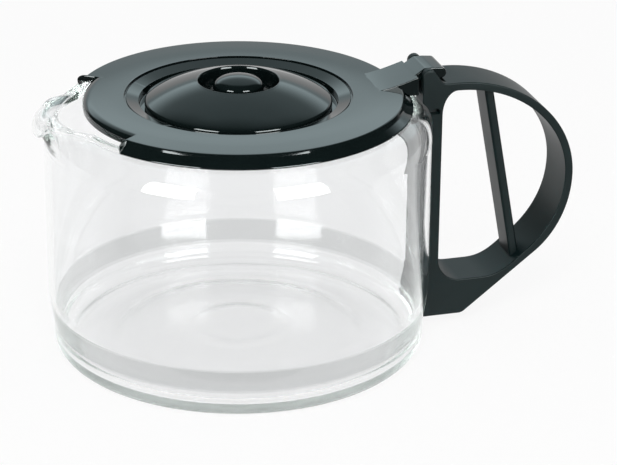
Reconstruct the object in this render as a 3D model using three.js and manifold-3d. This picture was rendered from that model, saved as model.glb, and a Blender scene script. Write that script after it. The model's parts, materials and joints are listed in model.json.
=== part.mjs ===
// Glass coffee carafe with a hinged lid and a bonded loop handle.
// Millimetres, +Z up. The origin is the centre of the jug's flat base, the handle points along +X,
// the spout along -X, and the lid's hinge runs along Y.

import * as THREE from 'three';
import { mergeVertices } from 'three/addons/utils/BufferGeometryUtils.js';
import Module from 'manifold-3d';

const wasm = await Module();
wasm.setup();

// Fits
const SEAT_GAP = 0.3;            // between pieces that rest on or fill each other
const RUNNING_GAP = 0.25;        // radial, hinge pin in its holes
const CHEEK_GAP = 0.4;           // each side of the lid's knuckle between the ears

// Glass jug
const BODY_RADIUS = 70;
const RIM_HEIGHT = 92.6;
const WALL = 2;
const FLOOR = 3;
const FOOT_INSET = 1.8;          // the foot is this much slimmer than the body
const FOOT_HEIGHT = 11;
const WAIST_HEIGHT = 13;         // taper between the foot and the body
const HEEL_RADIUS = 5.5;
const FLOOR_FILLET = 8;
const SHOULDER_DROP = 12.6;      // from the rim down to the top of the straight wall
const NECK_INSET = 9;
const NECK_HEIGHT = 1.8;
const SPOUT_OVERHANG = 4.4;      // past the body's wall
const SPOUT_DROP = 14;           // from the rim down to where the wall starts to swell
const SPOUT_LIFT = 0.8;
const SPOUT_HALF_ANGLE = THREE.MathUtils.degToRad(24);
const SPOUT_FULLNESS = 1.2;
const SPOUT_STEEPNESS = 1.6;
const SHOULDER_UPRIGHT = 0.5;    // share of the shoulder's height that starts upright
const SHOULDER_SLOPE = 0.3;      // share of the neck's inset that the shoulder's crown takes
const CREASE_DROP = 1;           // inner crease of the neck below the outer one

// Lid cover
const PLATE_THICKNESS = 1.9;
const PLATE_CROWN = 0.5;
const SKIRT_CLEARANCE = 2;       // neck to skirt, so that the skirt swings clear of the rim
const SKIRT_THICKNESS = 1.5;
const SKIRT_DROP = 1.8;
const EDGE_ROLL = 6.5;
const EDGE_FALL = 0.15;          // plate's edge below its crown
const EDGE_CHAMFER = 0.7;        // lower corner of the skirt
const RIB_CLEARANCE = 1.2;
const RIB_THICKNESS = 1.6;
const RIB_DEPTH = 4.5;
const CUTOUT_SETBACK = 3.1;      // the plate's edge behind the neck's inner wall
const CUTOUT_HALF_ANGLE = THREE.MathUtils.degToRad(34.5);
const RECESS_WIDTH = 5;          // flat ring between the dome's groove and the step
const RECESS_FALL = 0.2;
const STEP_DEPTH = 1.6;
const STEP_ROLL = 3.5;
const LEDGE_DEPTH = 1.9;
const LEDGE_WIDTH = 4;
const GROOVE_WIDTH = 2.3;

// Lid dome and its drip well
const DOME_RADIUS = 33.7;
const DOME_EDGE = 1.7;           // upright edge at the foot of the dome
const DOME_RISE = 8.4;
const DOME_WALL = 1.8;
const CRATER_RADIUS = 14.85;
const CRATER_LIP = 0.5;
const WELL_DEPTH = 11;
const WELL_DRAFT = 0.4;
const WELL_LEDGE = 2;
const WELL_LEDGE_THICKNESS = 1.6;

// Drip stop button
const BUTTON_RADIUS = 9;
const BUTTON_PROUD = 1.3;        // above the crater's rim
const BUTTON_CROWN = 1.8;
const BUTTON_WALL = 1.6;
const BUTTON_ROLL = 1;
const SPIDER_THICKNESS = 1.8;
const SPIDER_RING = 1.6;
const SPOKE_WIDTH = 3;
const SPOKE_COUNT = 3;

// Handle
const HANDLE_WIDTH = 20;
const BOND_STANDOFF = 1.2;       // glass to handle, filled by the silicone
const POST_THICKNESS = 3.1;
const POST_WRAP = 0.9;           // the post's edges reach in past its middle, round the glass
const STRAP_THICKNESS = 3;
const STRAP_REACH = 52.1;        // from the post's hand side to the strap's outside
const STRAP_CROWN_OFFSET = 5.7;
const STRAP_TOP_RISE = 3.5;      // above the jug's rim
const STRAP_UPPER_HEIGHT = 40.1;
const SLANT_INSET = 13.2;
const SLANT_HEIGHT = 22.6;
const FOOT_CLEARANCE = 3.7;      // from the table to the handle's foot
const WEDGE_HEIGHT = 13.9;
const WEDGE_LENGTH = 9.9;        // flat underside of the foot past the post
const OPENING_CORNER = 9;
const KNEE_INSET = 3.6;          // inner knee of the strap behind the outer one
const KNEE_RISE = 0.9;
const KNEE_RUN = 18;             // from the inner knee to the flat of the opening
const KNEE_EASE = 0.35;          // share of that run that follows the slant
const SADDLE_REACH = 3.4;        // how far the foot's saddle reaches in past the post
const SADDLE_HEIGHT = 15.4;
const STRUT_WIDTH = 12;
const STRUT_THICKNESS = 2.5;
const STRUT_TOP_OFFSET = 18.3;
const STRUT_FOOT_OFFSET = 31.8;
const SLOT_LENGTH = 4.1;
const SLOT_HEIGHT = 2.1;
const SLOT_DEPTH = 3;
const SLOT_DROP = 10.3;

// Hinge
const HINGE_OFFSET = 8;          // axis outside the neck
const HINGE_RISE = 6.9;          // axis above the rim
const EAR_RADIUS = 3.05;
const EAR_THICKNESS = 2.6;
const PIN_RADIUS = 1.6;
const PIN_PROUD = 0.2;
const BARREL_RADIUS = 3.2;
const LEVER_REACH = 7.2;
const LEVER_THICKNESS = 4;
const POCKET_GAP = 0.6;
const TONGUE_SETBACK = 1.5;      // tongue's root behind the step's rolled edge
const TONGUE_RISE = 1.2;         // above the plate, where its curve turns into the ramp
const TONGUE_BEND = 0.4;         // share of the tongue's length that curves
const RAMP_SETBACK = 4.9;        // crease at the ramp's end, before the axis
const RAMP_DROP = 0.7;           // that crease below the axis
const LEVER_SETBACK = 2.1;       // crease at the lever's root, past the axis
const LEVER_RISE = 1.6;
const WEB_GAP = 0.6;
const WEB_LIFT = 0.5;            // web's foot above the skirt's lower edge

// Bond
const BOND_WIDTH = 14;
const BOND_MARGIN = 2;           // bond stops short of the ends of its straight wall

// Facets
const JUG_FACETS = 64;
const LID_FACETS = 64;
const DOME_FACETS = 48;
const BUTTON_FACETS = 32;
const PIN_FACETS = 24;
const CURVE_STEPS = 5;
const ROUND = 0.55;              // length of a quarter round's control arm, as a share of its radius
const SQUARE = 1 - ROUND;        // from that arm's end to the corner
const CUT_OVERRUN = 20;          // how far a cutter runs past what it cuts

// Sizes that follow
const FOOT_RADIUS = BODY_RADIUS - FOOT_INSET;
const WAIST_TOP = FOOT_HEIGHT + WAIST_HEIGHT;
const SHOULDER_Z = RIM_HEIGHT - SHOULDER_DROP;
const NECK_RADIUS = BODY_RADIUS - NECK_INSET;
const NECK_BORE = NECK_RADIUS - WALL;
const NECK_Z = RIM_HEIGHT - NECK_HEIGHT;
const PLATE_UNDER = RIM_HEIGHT + SEAT_GAP;
const PLATE_TOP = PLATE_UNDER + PLATE_THICKNESS;
const SKIRT_BORE = NECK_RADIUS + SKIRT_CLEARANCE;
const LID_RADIUS = SKIRT_BORE + SKIRT_THICKNESS;
const SKIRT_Z = PLATE_UNDER - SKIRT_DROP;
const RIB_RADIUS = NECK_BORE - RIB_CLEARANCE;
const RECESS_Z = PLATE_TOP - STEP_DEPTH;
const LEDGE_Z = RECESS_Z - LEDGE_DEPTH;
const GROOVE_RADIUS = DOME_RADIUS + GROOVE_WIDTH;
const LEDGE_BORE = GROOVE_RADIUS - LEDGE_WIDTH;
const STEP_RADIUS = GROOVE_RADIUS + RECESS_WIDTH;
const DOME_Z = LEDGE_Z + SEAT_GAP;
const DOME_EDGE_Z = DOME_Z + DOME_EDGE;
const CRATER_Z = DOME_EDGE_Z + DOME_RISE;
const WELL_RADIUS = CRATER_RADIUS - CRATER_LIP;
const WELL_FOOT_RADIUS = WELL_RADIUS - WELL_DRAFT;
const WELL_LEDGE_Z = CRATER_Z - WELL_DEPTH;
const BUTTON_TOP = CRATER_Z + BUTTON_PROUD;
const SPIDER_Z = WELL_LEDGE_Z + SEAT_GAP;
const SPIDER_RADIUS = WELL_FOOT_RADIUS - SEAT_GAP;
const POST_BACK = BODY_RADIUS + BOND_STANDOFF;
const POST_FRONT = POST_BACK + POST_THICKNESS;
const STRAP_OUT = POST_FRONT + STRAP_REACH;
const STRAP_TOP = RIM_HEIGHT + STRAP_TOP_RISE;
const STRAP_MID = STRAP_TOP - STRAP_UPPER_HEIGHT;
const CROWN_X = POST_FRONT + STRAP_CROWN_OFFSET;
const OPENING_FLOOR = FOOT_CLEARANCE + WEDGE_HEIGHT;
const WEDGE_END = POST_FRONT + WEDGE_LENGTH;
const SLANT_X = STRAP_OUT - SLANT_INSET;
const SLANT_Z = FOOT_CLEARANCE + SLANT_HEIGHT;
const HINGE_X = NECK_RADIUS + HINGE_OFFSET;
const HINGE_Z = RIM_HEIGHT + HINGE_RISE;
const POCKET_RADIUS = LEVER_REACH + POCKET_GAP;
const CHEEK = HANDLE_WIDTH / 2 - EAR_THICKNESS;
const KNUCKLE_WIDTH = 2 * (CHEEK - CHEEK_GAP);
const TONGUE_ROOT = STEP_RADIUS + STEP_ROLL + TONGUE_SETBACK;
const TONGUE_LENGTH = HINGE_X - TONGUE_ROOT;

const point = (x, y) => new THREE.Vector2(x, y);

// A closed solid from a geometry: shared corners merged, collapsed triangles dropped
function solidOf(geometry) {
  const bare = geometry.clone();
  bare.deleteAttribute('normal');
  bare.deleteAttribute('uv');
  const merged = mergeVertices(bare, 1e-4);
  const corners = merged.index.array;
  const kept = [];
  for (let i = 0; i < corners.length; i += 3) {
    const [a, b, c] = corners.slice(i, i + 3);
    if (a !== b && b !== c && c !== a) kept.push(a, b, c);
  }
  const vertProperties = new Float32Array(merged.attributes.position.array);
  const triVerts = new Uint32Array(kept);
  return new wasm.Manifold(new wasm.Mesh({ numProp: 3, vertProperties, triVerts }));
}

function geometryOf(solid) {
  const mesh = solid.getMesh();
  const geometry = new THREE.BufferGeometry();
  geometry.setAttribute('position', new THREE.BufferAttribute(mesh.vertProperties.slice(), 3));
  geometry.setIndex(new THREE.BufferAttribute(mesh.triVerts.slice(), 1));
  geometry.computeVertexNormals();
  return geometry;
}

// Turned piece: outline in (radius, height), run upwards along its outside
function turned(outline, facets) {
  return new THREE.LatheGeometry(outline, facets).rotateX(Math.PI / 2);
}

// Slab with its outline in (x, height), centred on the handle's plane
function slab(shape, width) {
  const settings = { depth: width, bevelEnabled: false, curveSegments: CURVE_STEPS };
  return new THREE.ExtrudeGeometry(shape, settings).rotateX(Math.PI / 2).translate(0, width / 2, 0);
}

function crossRod(radius, length, facets) {
  return new THREE.CylinderGeometry(radius, radius, length, facets).translate(HINGE_X, 0, HINGE_Z);
}

// Round stretch of an outline, without its first point
function bend(from, controlA, controlB, to, steps = CURVE_STEPS) {
  return new THREE.CubicBezierCurve(from, controlA, controlB, to).getPoints(steps).slice(1);
}

// Ball-shaped stretch centred on the axis between two points of an outline
function cap(from, to, steps = CURVE_STEPS) {
  const rise = to.y - from.y;
  const depth = (from.x ** 2 - to.x ** 2 - rise ** 2) / (2 * rise);
  const radius = Math.hypot(depth, from.x);
  const points = [];
  for (let i = 1; i <= steps; i += 1) {
    const x = THREE.MathUtils.lerp(from.x, to.x, i / steps);
    points.push(point(x, from.y - depth + Math.sqrt(radius ** 2 - x ** 2)));
  }
  return points;
}

// Outside of the jug's wall from the base up to the neck, moved out by an offset
function jugOutside(offset) {
  const foot = FOOT_RADIUS + offset;
  const body = BODY_RADIUS + offset;
  const neck = NECK_RADIUS + offset;
  const heel = point(foot - HEEL_RADIUS, 0);
  const footTop = point(foot, FOOT_HEIGHT);
  const shoulder = point(body, SHOULDER_Z);
  const lean = WAIST_HEIGHT / 2;
  const corner = HEEL_RADIUS * SQUARE;
  const upright = (NECK_Z - SHOULDER_Z) * SHOULDER_UPRIGHT;
  return [
    heel,
    ...bend(heel, point(foot - corner, 0), point(foot, corner), point(foot, HEEL_RADIUS)),
    footTop,
    ...bend(footTop, point(foot, FOOT_HEIGHT + lean), point(body, WAIST_TOP - lean), point(body, WAIST_TOP)),
    shoulder,
    ...bend(shoulder, point(body, SHOULDER_Z + upright),
      point(body - NECK_INSET * SHOULDER_SLOPE, NECK_Z), point(neck, NECK_Z)),
  ];
}

// How far the wall is pulled towards the spout's lip, from 0 to 1
function spoutPull(x, y) {
  const turn = Math.abs(Math.atan2(y, -x)) / SPOUT_HALF_ANGLE;
  return turn < 1 ? Math.cos(turn * Math.PI / 2) ** SPOUT_FULLNESS : 0;
}

// Pulls the upper wall out into the spout. Each inset is how far an outline point lies behind the outside.
function pullSpout(geometry, insets) {
  const position = geometry.attributes.position;
  for (let i = 0; i < position.count; i += 1) {
    const x = position.getX(i);
    const y = position.getY(i);
    const z = position.getZ(i);
    const height = THREE.MathUtils.smoothstep(z, RIM_HEIGHT - SPOUT_DROP, RIM_HEIGHT);
    if (height > 0) {
      const radius = Math.hypot(x, y);
      const pull = spoutPull(x, y);
      const lip = BODY_RADIUS + SPOUT_OVERHANG * height - insets[i % insets.length];
      const share = pull * Math.min(1, height * SPOUT_STEEPNESS);
      const reach = THREE.MathUtils.lerp(radius, lip, share) / radius;
      position.setXYZ(i, x * reach, y * reach, z + SPOUT_LIFT * pull * height);
    }
  }
  return geometry;
}

function buildJug() {
  const outside = jugOutside(0);
  const rimRadius = WALL / 2;
  const rimCentre = point(NECK_RADIUS - rimRadius, RIM_HEIGHT - rimRadius);
  const rim = [];
  for (let i = 0; i <= CURVE_STEPS; i += 1) {
    const turn = Math.PI * i / CURVE_STEPS;
    rim.push(point(rimRadius * Math.cos(turn), rimRadius * Math.sin(turn)).add(rimCentre));
  }
  const bore = BODY_RADIUS - WALL;
  const footBore = FOOT_RADIUS - WALL;
  const innerShoulder = point(bore, SHOULDER_Z);
  const innerNeck = point(NECK_BORE, NECK_Z - CREASE_DROP);
  const upright = (innerNeck.y - SHOULDER_Z) * SHOULDER_UPRIGHT;
  const innerUp = bend(innerShoulder, point(bore, SHOULDER_Z + upright),
    point(bore - NECK_INSET * SHOULDER_SLOPE, innerNeck.y), innerNeck);
  const corner = FLOOR_FILLET * SQUARE;
  const filletFoot = point(footBore - FLOOR_FILLET, FLOOR);
  const filletTop = point(footBore, FLOOR + FLOOR_FILLET);
  const fillet = bend(filletFoot, point(footBore - corner, FLOOR), point(footBore, FLOOR + corner), filletTop);
  const inside = [
    point(0, FLOOR),
    filletFoot,
    ...fillet,
    ...bend(filletTop, point(footBore, FLOOR + FLOOR_FILLET + WAIST_HEIGHT / 2),
      point(bore, WAIST_TOP - WAIST_HEIGHT / 2), point(bore, WAIST_TOP)),
    innerShoulder,
    ...innerUp,
  ];
  const outline = [point(0, 0), ...outside, ...rim, ...inside.reverse()];
  const insets = outline.map((p, i) => {
    if (i <= outside.length) return 0;
    return i <= outside.length + rim.length ? NECK_RADIUS - p.x : WALL;
  });
  return geometryOf(solidOf(pullSpout(turned(outline, JUG_FACETS), insets)));
}

// Ring-shaped wall piece around the jug's axis, under the handle
function wallPad(innerRadius, outerRadius, low, high) {
  const halfTurn = Math.asin(BOND_WIDTH / 2 / outerRadius);
  const shape = new THREE.Shape();
  shape.absarc(0, 0, outerRadius, -halfTurn, halfTurn, false);
  shape.absarc(0, 0, innerRadius, halfTurn, -halfTurn, true);
  const settings = { depth: high - low, bevelEnabled: false, curveSegments: CURVE_STEPS };
  return new THREE.ExtrudeGeometry(shape, settings).translate(0, 0, low);
}

function buildBondStrip() {
  const low = WAIST_TOP + BOND_MARGIN;
  const high = SHOULDER_Z - BOND_MARGIN;
  return wallPad(BODY_RADIUS + SEAT_GAP, POST_BACK - SEAT_GAP, low, high);
}

function buildFootPad() {
  const outer = FOOT_RADIUS + BOND_STANDOFF - SEAT_GAP;
  return wallPad(FOOT_RADIUS + SEAT_GAP, outer, HEEL_RADIUS + SEAT_GAP, FOOT_HEIGHT - SEAT_GAP);
}

// Outer outline of the handle: wedge foot, slant, strap, hinge block with round ears, post
function handleOutline() {
  const saddle = POST_BACK - SADDLE_REACH;
  const saddleTop = FOOT_CLEARANCE + SADDLE_HEIGHT;
  const earLeft = HINGE_X - EAR_RADIUS;
  const shape = new THREE.Shape();
  shape.moveTo(saddle, FOOT_CLEARANCE);
  shape.lineTo(WEDGE_END, FOOT_CLEARANCE);
  shape.lineTo(SLANT_X, SLANT_Z);
  shape.bezierCurveTo(SLANT_X + SLANT_INSET * ROUND, SLANT_Z + SLANT_INSET * SQUARE,
    STRAP_OUT, STRAP_MID - SLANT_INSET, STRAP_OUT, STRAP_MID);
  shape.absellipse(CROWN_X, STRAP_MID, STRAP_OUT - CROWN_X, STRAP_UPPER_HEIGHT, 0, Math.PI / 2, false);
  shape.lineTo(HINGE_X + EAR_RADIUS, STRAP_TOP);
  shape.lineTo(HINGE_X + EAR_RADIUS, HINGE_Z);
  shape.absarc(HINGE_X, HINGE_Z, EAR_RADIUS, 0, Math.PI, false);
  shape.lineTo(earLeft, SHOULDER_Z);
  shape.lineTo(POST_BACK - POST_WRAP, SHOULDER_Z);
  shape.lineTo(POST_BACK - POST_WRAP, saddleTop);
  shape.lineTo(saddle, saddleTop);
  shape.closePath();
  shape.holes.push(openingOutline());
  return shape;
}

function slantSlope() {
  return (SLANT_Z - FOOT_CLEARANCE) / (SLANT_X - WEDGE_END);
}

// Finger opening between the post and the strap
function openingOutline() {
  const right = STRAP_OUT - STRAP_THICKNESS;
  const top = STRAP_TOP - STRAP_THICKNESS;
  const low = OPENING_FLOOR;
  const corner = OPENING_CORNER * SQUARE;
  const knee = point(SLANT_X - KNEE_INSET, SLANT_Z + KNEE_RISE);
  const ease = KNEE_RUN * KNEE_EASE;
  const hole = new THREE.Path();
  hole.moveTo(POST_FRONT, low + OPENING_CORNER);
  hole.lineTo(POST_FRONT, top - OPENING_CORNER);
  hole.bezierCurveTo(POST_FRONT, top - corner, POST_FRONT + STRAP_CROWN_OFFSET * SQUARE, top, CROWN_X, top);
  hole.absellipse(CROWN_X, STRAP_MID, right - CROWN_X, top - STRAP_MID, Math.PI / 2, 0, true);
  hole.bezierCurveTo(right, STRAP_MID - SLANT_INSET,
    knee.x + SLANT_INSET * ROUND, knee.y + SLANT_INSET * SQUARE, knee.x, knee.y);
  hole.bezierCurveTo(knee.x - ease, knee.y - ease * slantSlope(),
    knee.x - KNEE_RUN * ROUND, low, knee.x - KNEE_RUN, low);
  hole.lineTo(POST_FRONT + OPENING_CORNER, low);
  hole.bezierCurveTo(POST_FRONT + corner, low, POST_FRONT, low + corner, POST_FRONT, low + OPENING_CORNER);
  return hole;
}

// Middle of the strap's thickness above and below the opening
function strapMiddleTop(x) {
  const across = (x - CROWN_X) / (STRAP_OUT - CROWN_X);
  return STRAP_MID + (STRAP_UPPER_HEIGHT - STRAP_THICKNESS / 2) * Math.sqrt(1 - across ** 2);
}

function strapMiddleLow(x) {
  return FOOT_CLEARANCE + (x - WEDGE_END) * slantSlope() + STRAP_THICKNESS / 2;
}

// Diagonal strut between the top and the bottom of the strap, ending inside both
function strutOutline() {
  const half = STRUT_THICKNESS / 2;
  const topX = POST_FRONT + STRUT_TOP_OFFSET;
  const footX = POST_FRONT + STRUT_FOOT_OFFSET;
  const shape = new THREE.Shape();
  shape.moveTo(footX - half, strapMiddleLow(footX - half));
  shape.lineTo(footX + half, strapMiddleLow(footX + half));
  shape.lineTo(topX + half, strapMiddleTop(topX + half));
  shape.lineTo(topX - half, strapMiddleTop(topX - half));
  shape.closePath();
  return shape;
}

function buildHandle() {
  const clearOfGlass = [point(0, 0), ...jugOutside(BOND_STANDOFF)];
  clearOfGlass.push(point(NECK_RADIUS + BOND_STANDOFF, HINGE_Z), point(0, HINGE_Z));
  const pocket = crossRod(POCKET_RADIUS, 2 * CHEEK, JUG_FACETS);
  const bore = crossRod(PIN_RADIUS + RUNNING_GAP, HANDLE_WIDTH + CUT_OVERRUN, PIN_FACETS);
  let solid = solidOf(slab(handleOutline(), HANDLE_WIDTH));
  solid = solid.add(solidOf(slab(strutOutline(), STRUT_WIDTH)));
  solid = solid.subtract(solidOf(turned(clearOfGlass, JUG_FACETS)));
  solid = solid.subtract(solidOf(pocket));
  solid = solid.subtract(solidOf(bore));
  for (const side of [-1, 1]) {
    const slot = new THREE.BoxGeometry(SLOT_LENGTH, 2 * SLOT_DEPTH, SLOT_HEIGHT);
    slot.translate(POST_BACK, side * HANDLE_WIDTH / 2, STRAP_TOP - SLOT_DROP);
    solid = solid.subtract(solidOf(slot));
  }
  return geometryOf(solid);
}

// Section of the cover: plate, rolled edge, skirt, rib, recess and the dome's ledge
function coverSection() {
  const edgeTop = point(LID_RADIUS - EDGE_ROLL, PLATE_TOP - EDGE_FALL);
  const edgeLow = point(LID_RADIUS, SKIRT_Z + EDGE_CHAMFER);
  const edgeRise = edgeTop.y - edgeLow.y;
  const recessUnder = RECESS_Z - PLATE_THICKNESS;
  const ledgeUnder = LEDGE_Z - PLATE_THICKNESS;
  const riser = STEP_RADIUS + PLATE_THICKNESS;
  const ledgeOut = GROOVE_RADIUS + PLATE_THICKNESS;
  return [
    point(LEDGE_BORE, ledgeUnder),
    point(ledgeOut, ledgeUnder),
    point(ledgeOut, recessUnder),
    point(riser, recessUnder),
    point(riser, PLATE_UNDER),
    point(RIB_RADIUS - RIB_THICKNESS, PLATE_UNDER),
    point(RIB_RADIUS - RIB_THICKNESS, PLATE_UNDER - RIB_DEPTH),
    point(RIB_RADIUS, PLATE_UNDER - RIB_DEPTH),
    point(RIB_RADIUS, PLATE_UNDER),
    point(SKIRT_BORE, PLATE_UNDER),
    point(SKIRT_BORE, SKIRT_Z),
    point(LID_RADIUS - EDGE_CHAMFER, SKIRT_Z),
    edgeLow,
    ...bend(edgeLow, point(LID_RADIUS, edgeLow.y + edgeRise * ROUND),
      point(LID_RADIUS - EDGE_ROLL * SQUARE, edgeTop.y), edgeTop),
    point((LID_RADIUS + STEP_RADIUS) / 2, PLATE_TOP),
    point(STEP_RADIUS + STEP_ROLL, PLATE_TOP - EDGE_FALL),
    point(STEP_RADIUS, PLATE_TOP - PLATE_CROWN),
    point(STEP_RADIUS - SEAT_GAP, RECESS_Z),
    point(GROOVE_RADIUS, RECESS_Z - RECESS_FALL),
    point(GROOVE_RADIUS, LEDGE_Z),
    point(LEDGE_BORE, LEDGE_Z),
    point(LEDGE_BORE, ledgeUnder),
  ];
}

// Hinge tongue in the handle's plane: rises from the plate to the knuckle and ends in the thumb lever
function tongueOutline() {
  const sunk = PLATE_THICKNESS / 2;
  const leverTip = HINGE_X + LEVER_REACH;
  const leverLow = HINGE_Z - LEVER_THICKNESS / 2;
  const leverHigh = HINGE_Z + LEVER_THICKNESS / 2;
  const webRight = HINGE_X - EAR_RADIUS - WEB_GAP;
  const webLeft = SKIRT_BORE + SEAT_GAP;
  const sag = Math.PI / 4;
  const bendX = TONGUE_ROOT + TONGUE_LENGTH * TONGUE_BEND;
  const shape = new THREE.Shape();
  shape.moveTo(TONGUE_ROOT, PLATE_TOP - sunk);
  shape.lineTo(TONGUE_ROOT, PLATE_TOP - PLATE_CROWN);
  shape.quadraticCurveTo((TONGUE_ROOT + bendX) / 2, PLATE_TOP, bendX, PLATE_TOP + TONGUE_RISE);
  shape.lineTo(HINGE_X - RAMP_SETBACK, HINGE_Z - RAMP_DROP);
  shape.lineTo(HINGE_X + LEVER_SETBACK, HINGE_Z + LEVER_RISE);
  shape.lineTo(leverTip - LEVER_THICKNESS / 2, leverHigh);
  shape.absarc(leverTip - LEVER_THICKNESS / 2, HINGE_Z, LEVER_THICKNESS / 2, Math.PI / 2, -Math.PI / 2, true);
  shape.lineTo(HINGE_X + BARREL_RADIUS, leverLow);
  shape.absarc(HINGE_X, HINGE_Z, BARREL_RADIUS, -sag, -Math.PI + sag, true);
  shape.lineTo(webRight, leverLow - WEB_LIFT);
  shape.lineTo(webRight, SKIRT_Z + WEB_LIFT);
  shape.lineTo(webLeft, SKIRT_Z + WEB_LIFT);
  shape.lineTo(webLeft, PLATE_TOP - sunk);
  shape.closePath();
  return shape;
}

// Sector that frees the spout: everything outside the plate's set-back edge
function cutoutBlock() {
  const inner = NECK_BORE - CUTOUT_SETBACK;
  const outer = LID_RADIUS + CUT_OVERRUN;
  const shape = new THREE.Shape();
  shape.absarc(0, 0, outer, Math.PI - CUTOUT_HALF_ANGLE, Math.PI + CUTOUT_HALF_ANGLE, false);
  shape.absarc(0, 0, inner, Math.PI + CUTOUT_HALF_ANGLE, Math.PI - CUTOUT_HALF_ANGLE, true);
  const low = PLATE_UNDER - RIB_DEPTH - CUT_OVERRUN;
  const depth = PLATE_TOP + CUT_OVERRUN - low;
  const settings = { depth, bevelEnabled: false, curveSegments: 2 * CURVE_STEPS };
  return new THREE.ExtrudeGeometry(shape, settings).translate(0, 0, low);
}

function buildCover() {
  const bore = crossRod(PIN_RADIUS + RUNNING_GAP, HANDLE_WIDTH + CUT_OVERRUN, PIN_FACETS);
  let solid = solidOf(turned(coverSection(), LID_FACETS));
  solid = solid.subtract(solidOf(cutoutBlock()));
  solid = solid.add(solidOf(slab(tongueOutline(), KNUCKLE_WIDTH)));
  solid = solid.subtract(solidOf(bore));
  return geometryOf(solid);
}

function buildDome() {
  const edge = point(DOME_RADIUS, DOME_EDGE_Z);
  const crater = point(CRATER_RADIUS, CRATER_Z);
  const tube = WELL_RADIUS + DOME_WALL;
  const underEdge = point(DOME_RADIUS - DOME_WALL, DOME_EDGE_Z - DOME_WALL / 2);
  const underCrater = point(tube, CRATER_Z - DOME_WALL);
  const ledgeBore = WELL_FOOT_RADIUS - WELL_LEDGE;
  const wellFoot = WELL_LEDGE_Z - WELL_LEDGE_THICKNESS;
  const outline = [
    point(DOME_RADIUS - DOME_WALL, DOME_Z),
    point(DOME_RADIUS, DOME_Z),
    edge,
    ...cap(edge, crater),
    point(CRATER_RADIUS - CRATER_LIP / 2, CRATER_Z + CRATER_LIP / 4),
    point(WELL_RADIUS, CRATER_Z - CRATER_LIP),
    point(WELL_FOOT_RADIUS, WELL_LEDGE_Z),
    point(ledgeBore, WELL_LEDGE_Z),
    point(ledgeBore, wellFoot),
    point(tube, wellFoot),
    ...cap(underEdge, underCrater).reverse(),
    underEdge,
    point(DOME_RADIUS - DOME_WALL, DOME_Z),
  ];
  return geometryOf(solidOf(turned(outline, DOME_FACETS)));
}

function buildButton() {
  const shoulder = point(BUTTON_RADIUS, BUTTON_TOP - BUTTON_CROWN - BUTTON_WALL);
  const crownEdge = point(BUTTON_RADIUS - BUTTON_ROLL, BUTTON_TOP - BUTTON_CROWN);
  const apex = point(0, BUTTON_TOP);
  const bore = BUTTON_RADIUS - BUTTON_WALL;
  const roof = BUTTON_TOP - BUTTON_CROWN - BUTTON_WALL;
  const button = [
    point(0, roof),
    point(bore, roof),
    point(bore, SPIDER_Z),
    point(BUTTON_RADIUS, SPIDER_Z),
    shoulder,
    crownEdge,
    ...cap(crownEdge, apex),
  ];
  const ringBore = SPIDER_RADIUS - SPIDER_RING;
  const ring = [
    point(ringBore, SPIDER_Z),
    point(SPIDER_RADIUS, SPIDER_Z),
    point(SPIDER_RADIUS, SPIDER_Z + SPIDER_THICKNESS),
    point(ringBore, SPIDER_Z + SPIDER_THICKNESS),
    point(ringBore, SPIDER_Z),
  ];
  let solid = solidOf(turned(button, BUTTON_FACETS)).add(solidOf(turned(ring, BUTTON_FACETS)));
  const spokeStart = BUTTON_RADIUS - BUTTON_WALL / 2;
  const spokeLength = ringBore + SPIDER_RING / 2 - spokeStart;
  for (let i = 0; i < SPOKE_COUNT; i += 1) {
    const spoke = new THREE.BoxGeometry(spokeLength, SPOKE_WIDTH, SPIDER_THICKNESS);
    spoke.translate(spokeStart + spokeLength / 2, 0, SPIDER_Z + SPIDER_THICKNESS / 2);
    spoke.rotateZ(2 * Math.PI * i / SPOKE_COUNT);
    solid = solid.add(solidOf(spoke));
  }
  return geometryOf(solid);
}

function buildPin() {
  return crossRod(PIN_RADIUS, HANDLE_WIDTH + 2 * PIN_PROUD, PIN_FACETS);
}

const glass = new THREE.MeshStandardMaterial({ color: 0xe8ecec, roughness: 0.03, metalness: 0 });
glass.transparent = true;
glass.opacity = 0.3;
const silicone = new THREE.MeshStandardMaterial({ color: 0xd9dddc, roughness: 0.35, metalness: 0 });
const lidPlastic = new THREE.MeshStandardMaterial({ color: 0x161c1c, roughness: 0.16, metalness: 0 });
const handlePlastic = new THREE.MeshStandardMaterial({ color: 0x1b2222, roughness: 0.32, metalness: 0 });
const pinPlastic = new THREE.MeshStandardMaterial({ color: 0x2a2e2e, roughness: 0.4, metalness: 0 });

function piece(name, geometry, material) {
  const mesh = new THREE.Mesh(geometry, material);
  mesh.name = name;
  return mesh;
}

const carafe = new THREE.Group();
carafe.name = 'coffee_carafe';

const jugGroup = new THREE.Group();
jugGroup.add(piece('glass_jug', buildJug(), glass));
jugGroup.add(piece('handle', buildHandle(), handlePlastic));
jugGroup.add(piece('handle_bond_strip', buildBondStrip(), silicone));
jugGroup.add(piece('foot_bond_pad', buildFootPad(), silicone));
jugGroup.add(piece('hinge_pin', buildPin(), pinPlastic));

const lidGroup = new THREE.Group();
lidGroup.add(piece('lid_cover', buildCover(), lidPlastic));
lidGroup.add(piece('lid_dome', buildDome(), lidPlastic));
lidGroup.add(piece('drip_stop_button', buildButton(), lidPlastic));

carafe.add(jugGroup, lidGroup);

export default carafe;
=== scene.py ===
"""Glass coffee carafe with a hinged lid: fine meshes, finishes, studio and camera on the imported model."""

import json
import logging
import math
from dataclasses import dataclass
from enum import Enum
from typing import Any, Iterable, Sequence, Union

import bmesh
import bpy
import numpy as np
from mathutils import Matrix, Vector


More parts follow.
